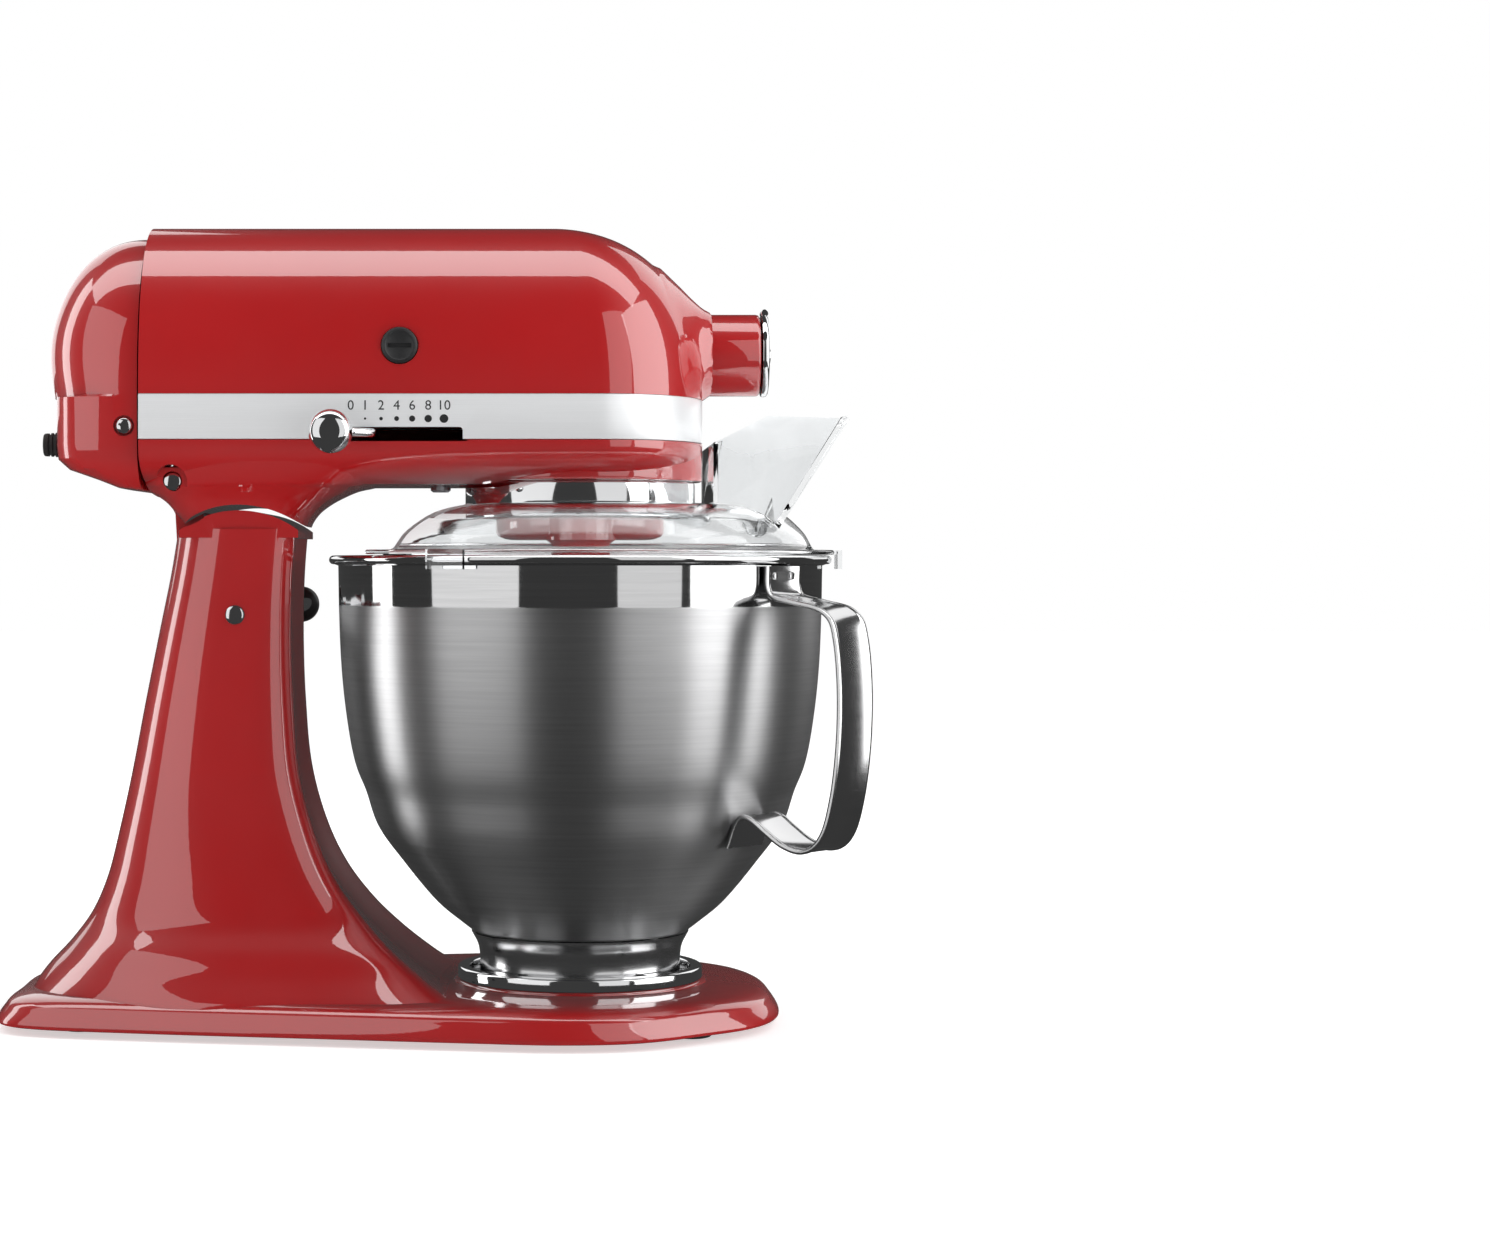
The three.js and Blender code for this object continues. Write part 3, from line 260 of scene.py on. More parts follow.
def brushed_bowl():
    """Brush lines run round the bowl; a polished band lies under the rim."""
    n = Nodes("brushed_bowl")
    n.set(Metallic=1.0, Anisotropic=0.85, Anisotropic_Rotation=0.25)
    low, high = (corner[2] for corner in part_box("bowl"))
    band = (189 * MM - low) / (high - low)
    split = n.add("ShaderNodeSeparateXYZ")
    n.link(n.coords.outputs["Object"], split.inputs[0])
    height = n.add("ShaderNodeMapRange")
    height.inputs["From Min"].default_value = low
    height.inputs["From Max"].default_value = high
    n.link(split.outputs["Z"], height.inputs["Value"])
    polish = n.ramp(height.outputs["Result"], [(band - 0.004, 0.0), (band, 1.0)])
    lines = n.noise(1.0, 4, 0.7, n.scaled((30, 30, 5200)))
    streaks = n.noise(1.0, 3, 0.6, n.scaled((14, 14, 700)))
    rough = n.add("ShaderNodeMix", data_type="FLOAT")
    n.link(polish, rough.inputs["Factor"])
    n.link(n.spread(lines, 0.32, 0.46), rough.inputs["A"])
    n.link(n.spread(streaks, 0.05, 0.09), rough.inputs["B"])
    color = n.ramp(streaks, [(0.25, (0.6, 0.6, 0.605)), (0.75, (0.7, 0.7, 0.705))])
    fine = n.add("ShaderNodeMix", data_type="FLOAT")
    n.link(polish, fine.inputs["Factor"])
    n.link(lines, fine.inputs["A"])
    fine.inputs["B"].default_value = 0.5
    tangent = n.add("ShaderNodeTangent", direction_type="RADIAL", axis="Z")
    n.link(tangent.outputs[0], n.shader.inputs["Tangent"])
    return n.finish(color, rough.outputs["Result"], n.bump(fine.outputs["Result"], 0.12, 0.00012))


def polished_steel():
    n = Nodes("polished_steel")
    n.set(Metallic=1.0)
    grain = n.noise(1.0, 3, 0.6, n.scaled((40, 40, 900)))
    color = n.ramp(n.noise(25), [(0.3, (0.62, 0.62, 0.625)), (0.7, (0.7, 0.7, 0.705))])
    return n.finish(color, n.spread(grain, 0.12, 0.2), n.bump(grain, 0.012, 0.0001))


def trim_aluminium():
    """Brushed along the length of the band."""
    n = Nodes("trim_aluminium")
    n.set(Metallic=0.3, IOR=1.7)
    grain = n.noise(1.0, 4, 0.65, n.scaled((25, 25, 4200)))
    color = n.ramp(grain, [(0.2, (0.84, 0.85, 0.86)), (0.8, (0.91, 0.92, 0.93))])
    return n.finish(color, n.spread(grain, 0.26, 0.42), n.bump(grain, 0.06, 0.0001))


def clear_plastic():
    n = Nodes("clear_plastic")
    n.set(Transmission_Weight=1.0, IOR=1.46, Base_Color=(0.89, 0.9, 0.905, 1))
    return n.finish(None, n.spread(n.noise(45, 3), 0.015, 0.045), n.bump(n.noise(70), 0.03, 0.0006))


def moulded_plastic(name, dark, light, roughness):
    n = Nodes(name)
    speckle = n.noise(900, 2)
    color = n.ramp(n.noise(40), [(0.3, dark), (0.7, light)])
    return n.finish(
        color, n.spread(speckle, roughness - 0.06, roughness + 0.06), n.bump(speckle, 0.15, 0.0002),
    )


def machined(name, dark, light, roughness=0.3):
    n = Nodes(name)
    n.set(Metallic=1.0)
    grain = n.noise(1.0, 3, 0.6, n.scaled((60, 60, 1800)))
    color = n.ramp(n.noise(35, 3), [(0.3, dark), (0.7, light)])
    return n.finish(color, n.spread(grain, roughness - 0.08, roughness + 0.1), n.bump(grain, 0.08, 0.0001))


MATERIALS = {
    "red_paint": red_enamel(),
    "chrome": chrome(),
    "brushed_steel": brushed_bowl(),
    "polished_steel": polished_steel(),
    "trim_aluminium": trim_aluminium(),
    "clear_plastic": clear_plastic(),
    "black_plastic": moulded_plastic("black_plastic", (0.012, 0.012, 0.013), (0.02, 0.02, 0.021), 0.42),
    "rubber": moulded_plastic("rubber", (0.013, 0.013, 0.013), (0.022, 0.022, 0.022), 0.75),
    "gear_steel": machined("gear_steel", (0.28, 0.28, 0.29), (0.38, 0.38, 0.40)),
    "iron": machined("iron", (0.14, 0.14, 0.15), (0.22, 0.22, 0.23), 0.5),
    "brass": machined("brass", (0.55, 0.37, 0.12), (0.66, 0.47, 0.18)),
    "copper": machined("copper", (0.42, 0.17, 0.08), (0.55, 0.25, 0.13), 0.4),
    "carbon": moulded_plastic("carbon", (0.02, 0.02, 0.02), (0.04, 0.04, 0.04), 0.6),
    "circuit_board": moulded_plastic("circuit_board", (0.01, 0.09, 0.04), (0.02, 0.14, 0.06), 0.35),
}


# ---------------------------------------------------------------- mesh helpers, in design millimetres
def new_object(name, points, faces):
    mesh = bpy.data.meshes.new(name)
    placed = [((x + AXIS_X) * MM, y * MM, z * MM) for x, y, z in points]
    mesh.from_pydata(placed, [], faces)
    shape = bmesh.new()
    shape.from_mesh(mesh)
    bmesh.ops.remove_doubles(shape, verts=shape.verts, dist=1e-7)
    bmesh.ops.recalc_face_normals(shape, faces=shape.faces)
    shape.to_mesh(mesh)
    shape.free()
    obj = bpy.data.objects.new(name, mesh)
    bpy.context.scene.collection.objects.link(obj)
    return obj


def loft(name, rings, closed=False, caps=True):
    """Skins rings of points; `closed` joins the last ring to the first, as round a torus."""
    rings = [list(map(tuple, ring)) for ring in rings]
    count, rows = len(rings[0]), len(rings)
    points = [point for ring in rings for point in ring]
    faces = []
    for row in range(rows if closed else rows - 1):
        for i in range(count):
            j, following = (i + 1) % count, (row + 1) % rows
            faces.append((row * count + i, row * count + j, following * count + j, following * count + i))
    if caps and not closed:
        faces.append(tuple(reversed(range(count))))
        faces.append(tuple(range((rows - 1) * count, rows * count)))
    return new_object(name, points, faces)


ORDER = {"x": lambda u, v, w: (w, u, v), "y": lambda u, v, w: (u, w, v), "z": lambda u, v, w: (u, v, w)}


def lathe(name, profile, axis="z", at=(0, 0, 0), segments=96):
    """Turns a profile of (radius, height) round an axis.

    It starts and ends on the axis or closes on itself.
    """
    around = ORDER[axis]
    rings = []
    for i in range(segments):
        a = TAU * i / segments
        rings.append([
            tuple(np.add(around(r * math.cos(a), r * math.sin(a), h), at)) for r, h in profile
        ])
    points = [point for ring in rings for point in ring]
    count, faces = len(profile), []
    for i in range(segments):
        j = (i + 1) % segments
        for k in range(count - 1):
            corners = [i * count + k, j * count + k, j * count + k + 1, i * count + k + 1]
            if profile[k][0] == 0:
                corners.pop(1)
            elif profile[k + 1][0] == 0:
                corners.pop(2)
            if profile[k][0] or profile[k + 1][0]:
                faces.append(tuple(corners))
    return new_object(name, points, faces)


def prism(name, outline, axis, low, high):
    """An outline of (x, y), (x, z) or (y, z) points for the axis z, y or x, between two heights."""
    around = ORDER[axis]
    return loft(name, [[around(u, v, w) for u, v in outline] for w in (low, high)])


def box(name, low, high):
    (x0, y0, z0), (x1, y1, z1) = low, high
    return prism(name, [(x0, y0), (x1, y0), (x1, y1), (x0, y1)], "z", z0, z1)


def rod(name, axis, r, low, high, at=(0, 0, 0), segments=48):
    return lathe(name, [(0, low), (r, low), (r, high), (0, high)], axis, at, segments)


def combine(obj, operation, *others):
    """Joins (UNION), cuts (DIFFERENCE) or keeps the common part (INTERSECT) of solids."""
    for other in others:
        modifier = obj.modifiers.new("boolean", "BOOLEAN")
        modifier.operation = operation
        modifier.solver = "MANIFOLD"
        modifier.object = other
        bake_modifiers(obj)
        bpy.data.objects.remove(other)
    return obj


def bake_modifiers(obj):
    depsgraph = bpy.context.evaluated_depsgraph_get()
    mesh = bpy.data.meshes.new_from_object(obj.evaluated_get(depsgraph))
    obj.modifiers.clear()
    old = obj.data
    obj.data = mesh
    bpy.data.meshes.remove(old)


def smooth(obj, degrees=38):
    """Smooth shading, with edges sharper than the angle kept crisp."""
    shape = bmesh.new()
    shape.from_mesh(obj.data)
    limit = math.radians(degrees)
    for face in shape.faces:
        face.smooth = True
    for edge in shape.edges:
        edge.smooth = len(edge.link_faces) == 2 and edge.calc_face_angle(0) < limit
    shape.to_mesh(obj.data)
    shape.free()
    return obj


def soften(obj, width=0.5, segments=3, degrees=40):
    """Rounds the edges sharper than the angle."""
    modifier = obj.modifiers.new("round_edges", "BEVEL")
    modifier.width = width * MM
    modifier.segments = segments
    modifier.limit_method = "ANGLE"
    modifier.angle_limit = math.radians(degrees)
    modifier.harden_normals = False
    return obj


def piece(obj, body, slot, *nodes, angle=38):
    """Gives a made piece its finish, its body and the CAD nodes that it stands for."""
    smooth(obj, angle)
    obj.data.materials.clear()
    obj.data.materials.append(MATERIALS[slot])
    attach(obj, body)
    if nodes:
        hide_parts(*nodes)
    return obj


def curve_through(points, count, closed=False):
    """Points spaced evenly along a centripetal Catmull-Rom curve."""
    knots = [np.array(p, float) for p in points]
    if closed:
        knots = [knots[-1], *knots, knots[0], knots[1]]
    else:
        knots = [2 * knots[0] - knots[1], *knots, 2 * knots[-1] - knots[-2]]
    dense = []
    for p0, p1, p2, p3 in zip(knots, knots[1:], knots[2:], knots[3:]):
        t = [0.0]
        for a, b in ((p0, p1), (p1, p2), (p2, p3)):
            t.append(t[-1] + max(np.linalg.norm(b - a), 1e-6) ** 0.5)
        for u in np.linspace(t[1], t[2], 24, endpoint=False):
            a1 = (t[1] - u) / (t[1] - t[0]) * p0 + (u - t[0]) / (t[1] - t[0]) * p1
            a2 = (t[2] - u) / (t[2] - t[1]) * p1 + (u - t[1]) / (t[2] - t[1]) * p2
            a3 = (t[3] - u) / (t[3] - t[2]) * p2 + (u - t[2]) / (t[3] - t[2]) * p3
            b1 = (t[2] - u) / (t[2] - t[0]) * a1 + (u - t[0]) / (t[2] - t[0]) * a2
            b2 = (t[3] - u) / (t[3] - t[1]) * a2 + (u - t[1]) / (t[3] - t[1]) * a3
            dense.append((t[2] - u) / (t[2] - t[1]) * b1 + (u - t[1]) / (t[2] - t[1]) * b2)
    dense.append(knots[1] if closed else knots[-2])
    dense = np.array(dense)
    steps = np.r_[0, np.cumsum(np.linalg.norm(np.diff(dense, axis=0), axis=1))]
    wanted = np.linspace(0, steps[-1], count + 1)[:-1] if closed else np.linspace(0, steps[-1], count)
    return np.stack([np.interp(wanted, steps, dense[:, k]) for k in range(dense.shape[1])], axis=1)


def signed_power(value, power):
    return math.copysign(abs(value) ** power, value)


def super_root(t, power):
    return max(0.0, 1 - abs(t) ** power) ** (1 / power)


def lerp(a, b, t):
    return a + (b - a) * min(1.0, max(0.0, t))


def offset_line(line, distance):
    """Points beside a polyline, to the left of its direction."""
    line = np.array(line, float)
    along = np.gradient(line, axis=0)
    along /= np.linalg.norm(along, axis=1)[:, None]
    return line + np.stack([-along[:, 1], along[:, 0]], axis=1) * distance


def arc(centre, r, start, end, count):
    """Points on a circle, angles in degrees."""
    return [
        (centre[0] + r * math.cos(math.radians(a)), centre[1] + r * math.sin(math.radians(a)))
        for a in np.linspace(start, end, count)
    ]


def even(loop, count):
    """Resamples a closed loop of points at equal steps."""
    loop = np.array([*loop, loop[0]], float)
    steps = np.r_[0, np.cumsum(np.linalg.norm(np.diff(loop, axis=0), axis=1))]
    wanted = np.linspace(0, steps[-1], count + 1)[:-1]
    return [
        tuple(np.interp(wanted, steps, loop[:, k])[i] for k in range(loop.shape[1])) for i in range(count)
    ]


def at_height(outline, z):
    return [(x, y, z) for x, y in outline]


# ---------------------------------------------------------------- driving dimensions
GAP = 0.3
WALL = 4.2
HEAD_BACK, HEAD_HALF, NOSE_CENTRE, NOSE_FRONT, CROWN_START = -194, 65.6, 8, 56, -16
BAND_BOTTOM, BAND_TOP, BAND_DEPTH, SPLIT_Z = 262, 282, 2, 272
CROWN_HEIGHT = 78.5
BELLY_HEIGHT, BELLY_POWER = 21, 2.6
DRUM_R, DRUM_BOTTOM = 56, 244.7
HINGE_X, HINGE_Z, PIN_R, SWEEP_R, MAX_TILT = -181, 244, 4, 20.6, 45
ARC_X, ARC_Z, ARC_STAND_R, ARC_HEAD_R = -152.5, 187.2, 44, 46.5
TONGUE_HALF = 19.7
SHAFT_Z = 303
HUB_R, HUB_FRONT, HUB_BORE_R = 18.7, 82.2, 15.5
KNOB_X = 58
BRUSH_X = -79.7
LOCK_X, LOCK_Z = -154, 184.6
SPEED_X, SPEED_Z = -91, 264.6
BEATER_Y = -28


# ---------------------------------------------------------------- stand
# Height, back, front and half width of the column.
COLUMN = [
    (223, -183.3, -124.5, 43), (203, -186.6, -125.9, 43), (178, -191.7, -126.3, 43.5),
    (144, -198.5, -125, 44.5), (113, -204.4, -121.6, 46.5), (86, -210.4, -113.6, 50),
    (66, -215.5, -103.5, 55), (50, -222.3, -91, 61), (36, -232.5, -77, 73), (27, -241, -66, 80),
    (20, -246.5, -56.5, 87), (14, -250, -46, 94),
]
BASE_HALF = [
    (-261, 0), (-260.5, 38), (-255, 55), (-242, 64), (-190, 77), (-120, 90), (-50, 103), (-8, 109),
    (25, 104), (55, 83), (76, 63), (87, 38), (90.5, 0),
]
BASE_CENTRE = -85
# Height and scale of the base plate's outline, round its edge and in over its top.
BASE_EDGE = [
    (3.2, 0.985), (3.6, 0.995), (5, 1), (10.5, 0.982), (14, 0.962), (15.8, 0.93), (16.7, 0.88), (17, 0.8),
]
FEET = {
    "foot_front_left": (48, -62), "foot_front_right": (48, 62), "foot_rear_left": (-222, -42),
    "foot_rear_right": (-222, 42), "foot_centre": (-92, 0),
}


def column_section(row, inset, count):
    z, back, front, half = row
    middle, reach = (back + front) / 2, (front - back) / 2 - inset
    hollow = lerp(13, 7, (z - 20) / 120)
    narrowing = lerp(0.3, 0, max(0, min(1, (z - 14) / 100)) ** 0.6)
    points = []
    for i in range(1600):
        c, s = math.cos(TAU * i / 1600), math.sin(TAU * i / 1600)
        power = 2 / 2.6 if c < 0 else 2 / 5
        y = (half * (1 - narrowing * (1 - c) / 2) - inset) * signed_power(s, power)
        dent = hollow * max(0, 1 - (y / (0.86 * (half - inset))) ** 2) if c > 0 else 0
        points.append((middle + reach * signed_power(c, power) - dent, y))
    return at_height(even(points, count), z)


def base_ring(z, scale, count=200):
    loop = [*BASE_HALF, *[(x, -y) for x, y in reversed(BASE_HALF[1:-1])]]
    outline = curve_through(loop, count, closed=True)
    return [(BASE_CENTRE + (x - BASE_CENTRE) * scale, y * scale, z) for x, y in outline]


def tongue(grow):
    eye = [
        (
            HINGE_X + (8.5 + grow) * math.cos(math.radians(a)),
            HINGE_Z + (8.5 + grow) * math.sin(math.radians(a)),
        ) for a in np.linspace(-25, 205, 33)
    ]
    foot = [(-183.4 - grow, 230), (-182.6 - grow, 216), (-168 + grow, 216), (-171 + grow, 232)]
    return prism("tongue", [*eye, *foot], "y", -TONGUE_HALF - grow, TONGUE_HALF + grow)


def make_stand():
    slab = loft("stand_body", [base_ring(z, scale) for z, scale in curve_through(BASE_EDGE, 26)])
    column = loft("column", [column_section(row, 0, 200) for row in curve_through(COLUMN, 70)])
    crown = combine(
        rod("crown", "y", ARC_STAND_R, -42, 42, (ARC_X, 0, ARC_Z), 160), "INTERSECT",
        box("crown_limit", (-179, -42, 219), (-126, 42, 240)),
    )
    pad = lathe("pad", [(0, 12), (58.8, 12), (58.6, 15.6), (57.8, 17.4), (56.6, 18), (0, 18)], segments=160)
    combine(slab, "UNION", column, crown, pad)
    combine(slab, "DIFFERENCE", rod("sweep", "y", SWEEP_R, -60, 60, (HINGE_X, 0, HINGE_Z), 128))
    combine(slab, "UNION", tongue(0))
    inner = [row for i, row in enumerate(COLUMN) if row[0] < 215 and i % 2]
    hollow = loft("hollow", [column_section(row, WALL, 64) for row in [*inner, (8, *COLUMN[-1][1:])]])
    combine(hollow, "UNION", loft("under", [base_ring(-1, 0.95, 64), base_ring(12, 0.92, 64)]))
    combine(slab, "DIFFERENCE", hollow)
    for x, y in FEET.values():
        combine(slab, "UNION", rod("boss", "z", 11, 3.3, 13, (x, y, 0), 32))
        combine(slab, "DIFFERENCE", rod("hole", "z", 3.8, -1, 9, (x, y, 0), 24))
    for i in range(3):
        a = TAU * i / 3
        at = (26 * math.cos(a), 26 * math.sin(a), 0)
        combine(slab, "UNION", rod("boss", "z", 5, 8, 13, at, 24))
        combine(slab, "DIFFERENCE", rod("hole", "z", 2.3, 5, 20, at, 24))
    combine(slab, "DIFFERENCE", rod("hole", "y", PIN_R + GAP, -30, 30, (HINGE_X, 0, HINGE_Z)))
    combine(slab, "DIFFERENCE", rod("hole", "y", 4.3, -60, 60, (LOCK_X, 0, LOCK_Z)))
    piece(slab, "stand", "red_paint", "stand_casting", angle=33)
    slab.visible_glossy = False


def make_feet():
    for node, (x, y) in FEET.items():
        profile = [
            (0, 0), (7.6, 0), (8.6, 0.3), (9.3, 1), (9.5, 1.9), (9.3, 2.7), (8.6, 2.9), (3.5, 2.9),
            (3.5, 8), (0, 8),
        ]
        piece(lathe(node + "_pad", profile, at=(x, y, 0), segments=64), "stand", "rubber", node)


def sector(name, inner_r, outer_r, half_angle, middle, bottom, top, count=9):
    outer = arc((0, 0), outer_r, middle - half_angle, middle + half_angle, count)
    inner = arc((0, 0), inner_r, middle + half_angle, middle - half_angle, count)
    return prism(name, [*outer, *inner], "z", bottom, top)


def make_clamp_plate():
    profile = [
        (0, 18.3), (55.2, 18.3), *arc((55.2, 19.1), 0.8, -80, 0, 5), *arc((54.6, 22.6), 1.4, 0, 90, 8),
        *arc((51.6, 22.8), 1.2, 90, 180, 8), (50.4, 19.7), (24, 19.7), (22.5, 19.3), (0, 19.3),
    ]
    plate = lathe("clamp_plate_dish", profile, segments=192)
    for angle in range(45, 405, 90):
        combine(plate, "UNION", sector("tab", 47.2, 51.5, 9, angle, 22.5, 23.9))
    for i in range(3):
        at = (26 * math.cos(TAU * i / 3), 26 * math.sin(TAU * i / 3), 0)
        combine(plate, "DIFFERENCE", rod("hole", "z", 2.3, 10, 22, at, 32))
    piece(plate, "stand", "chrome", "bowl_clamp_plate")


def make_hinge_pin():
    profile = [(0, -50), (2.8, -50), (3.6, -49.7), (4, -49), (4, 49), (3.6, 49.7), (2.8, 50), (0, 50)]
    piece(lathe("hinge_pin_shank", profile, "y", (HINGE_X, 0, HINGE_Z), 48), "stand", "chrome", "hinge_pin")


def make_lock_lever():
    profile = [(0, -44.9), (3, -44.9), (3.8, -44.6), (4, -44), (4, 53), (0, 53)]
    shaft = lathe("lock_lever_arm", profile, "y", (LOCK_X, 0, LOCK_Z), 48)
    arm = curve_through([
        (LOCK_X - 4, LOCK_Z - 4), (LOCK_X + 4, LOCK_Z - 5), (LOCK_X + 16, LOCK_Z - 2),
        (LOCK_X + 26, LOCK_Z + 2), (LOCK_X + 26.6, LOCK_Z + 6), (LOCK_X + 20, LOCK_Z + 6.6),
        (LOCK_X + 8, LOCK_Z + 6), (LOCK_X - 2, LOCK_Z + 5),
    ], 60, closed=True)
    cam = [(-160, 181), (-148, 181), (-148, 188), (-151, 192), (-157, 192), (-160, 188)]
    combine(shaft, "UNION", prism("arm", arm, "y", 48, 53), prism("cam", cam, "y", -14, 14))
    piece(shaft, "lock_lever", "chrome", "lock_shaft")
    profile = [
        (0, 0), (6.3, 0), (7.4, 0.6), (8.2, 2), (8.5, 4), (8.5, 9), (8, 11.2), (6.6, 12.8), (4, 13.7),
        (0, 14),
    ]
    at = (LOCK_X + 21, 53 + GAP, LOCK_Z + 3.5)
    piece(lathe("lock_lever_knob", profile, "y", at, 64), "lock_lever", "black_plastic", "lock_knob")


# ---------------------------------------------------------------- head castings
def head_outline(side, nose, inset, back=HEAD_BACK, steps=120, sides=20):
    half = (HEAD_HALF - inset) * side
    reach = NOSE_FRONT - inset - NOSE_CENTRE
    curve = []
    for a in np.linspace(-math.pi / 2, math.pi / 2, steps + 1):
        x = NOSE_CENTRE + reach * math.cos(a)
        curve.append((CROWN_START + (x - CROWN_START) * nose, half * math.sin(a)))
    start = curve[0][0]
    flank = [back + (start - back) * i / sides for i in range(sides)]
    return [*[(x, -half) for x in flank], *curve, *[(x, half) for x in reversed(flank)]]


def snout_front(r):
    """How far forward the shoulder of the attachment hub reaches, at a distance from its axis."""
    shoulder = [(18.7, 64), (19.4, 60), (21.5, 56), (25.5, 51.5), (31, 46), (40, 36), (42, 28), (46, 0)]
    return float(np.interp(r, [p[0] for p in shoulder], [p[1] for p in shoulder]))


def blend_snout(point):
    x, y, z = point
    r = math.hypot(y, z - SHAFT_Z)
    if x < 5 or r > 58 or z < BAND_TOP:
        return point
    front = snout_front(max(r, 19.4))
    round_off = 5 * min(1, (z - BAND_TOP) / 6)
    near = max(round_off - abs(x - front), 0) / max(round_off, 1e-6)
    return (max(x, front if z > BAND_TOP + 0.5 else x) + near * near * round_off / 4, y, z)


def crown_rings(inset, back, rows, **detail):
    rings = []
    for degrees in np.linspace(0, 89.6, rows):
        t = math.sin(math.radians(degrees)) ** (2 / 2.4)
        outline = head_outline(super_root(t, 2.4), super_root(t, 2.3), inset, back, **detail)
        rings.append(at_height(outline, BAND_TOP + (CROWN_HEIGHT - inset) * t))
    return rings


def belly_rings(rows):
    rings = []
    for degrees in np.linspace(84, 0, rows):
        drop = 19 * math.sin(math.radians(degrees)) / math.sin(math.radians(84))
        side = super_root(drop / BELLY_HEIGHT, BELLY_POWER)
        rings.append(at_height(head_outline(side, side, 0), BAND_BOTTOM - drop))
    return rings


def groove(z, **detail):
    return at_height(head_outline(1, 1, BAND_DEPTH + GAP, **detail), z)


def make_upper_housing():
    rings = [groove(SPLIT_Z + 0.15), groove(BAND_TOP + GAP), *crown_rings(0, HEAD_BACK, 84)]
    skin = loft("upper_housing_skin", [[blend_snout(p) for p in ring] for ring in rings])
    profile = [
        (0, 20), (HUB_R, 20), (HUB_R, 80.4), (18.5, 81.3), (17.9, 82), (17, HUB_FRONT), (0, HUB_FRONT),
    ]
    snout = combine(
        lathe("snout", profile, "x", (0, 0, SHAFT_Z), 160), "INTERSECT",
        box("above_band", (0, -100, BAND_TOP + GAP), (100, 100, 400)),
    )
    boss = lathe(
        "boss", [(0, 12), (8.5, 12), (8.5, 43.2), (8.2, 43.8), (7.6, 44), (0, 44)], "y",
        (KNOB_X, 0, SHAFT_Z), 64,
    )
    combine(skin, "UNION", snout, boss)
    coarse = {"steps": 24, "sides": 2}
    hollow = loft("hollow", [
        at_height(head_outline(1, 1, WALL, HEAD_BACK - 2, **coarse), SPLIT_Z - 1),
        *crown_rings(WALL, HEAD_BACK - 2, 14, **coarse),
    ])
    combine(hollow, "DIFFERENCE", rod("keep", "x", 24, 34, 60, (0, 0, SHAFT_Z)))
    combine(skin, "DIFFERENCE", hollow)
    carrier = lathe(
        "carrier", [(9.3, -59), (15, -59), (15, -49), (9.3, -49), (9.3, -59)], "x", (0, 0, SHAFT_Z), 64,
    )
    combine(
        skin, "UNION", carrier, box("rib", (-59, -3, SHAFT_Z + 13), (-49, 3, 356)),
        box("rib", (-59, -62, SHAFT_Z - 3), (-49, -14, SHAFT_Z + 3)),
    )
    combine(
        skin, "DIFFERENCE", rod("bore", "x", 9, 20, 55, (0, 0, SHAFT_Z)),
        lathe(
            "bore", [(0, 50), (HUB_BORE_R, 50), (HUB_BORE_R, 81.4), (HUB_BORE_R + 1, 82.6), (0, 82.6)],
                "x", (0, 0, SHAFT_Z),
            128,
        ),
        rod("bore", "y", 3.4, 10, 50, (KNOB_X, 0, SHAFT_Z)),
        rod("bore", "y", 8.3, 40, 80, (BRUSH_X, 0, SHAFT_Z), 64),
        rod("bore", "y", 8.3, -80, -40, (BRUSH_X, 0, SHAFT_Z), 64),
    )
    piece(skin, "head", "red_paint", "upper_housing", angle=30)


# Height, back, front and half width of the neck.
NECK = [
    (222, -180, -124.4, 43), (224.5, -180, -124.2, 43), (230.4, -184.8, -120.4, 44.5),
    (234.7, -188.5, -115, 47), (238, -193, -109, 50), (241, -199, -102, 53.5), (243.4, -205, -92, 56.5),
    (250, -208, -78, 61), (258, -208, -66, 64.6),
]


def neck_ring(row):
    z, back, front, half = row
    middle, reach = (back + front) / 2, (front - back) / 2
    points = []
    for i in range(1600):
        c, s = math.cos(TAU * i / 1600), math.sin(TAU * i / 1600)
        power = 2 / 2.6 if c < 0 else 2 / 3.4
        points.append((middle + reach * signed_power(c, power), half * signed_power(s, power)))
    return at_height(even(points, 160), z)


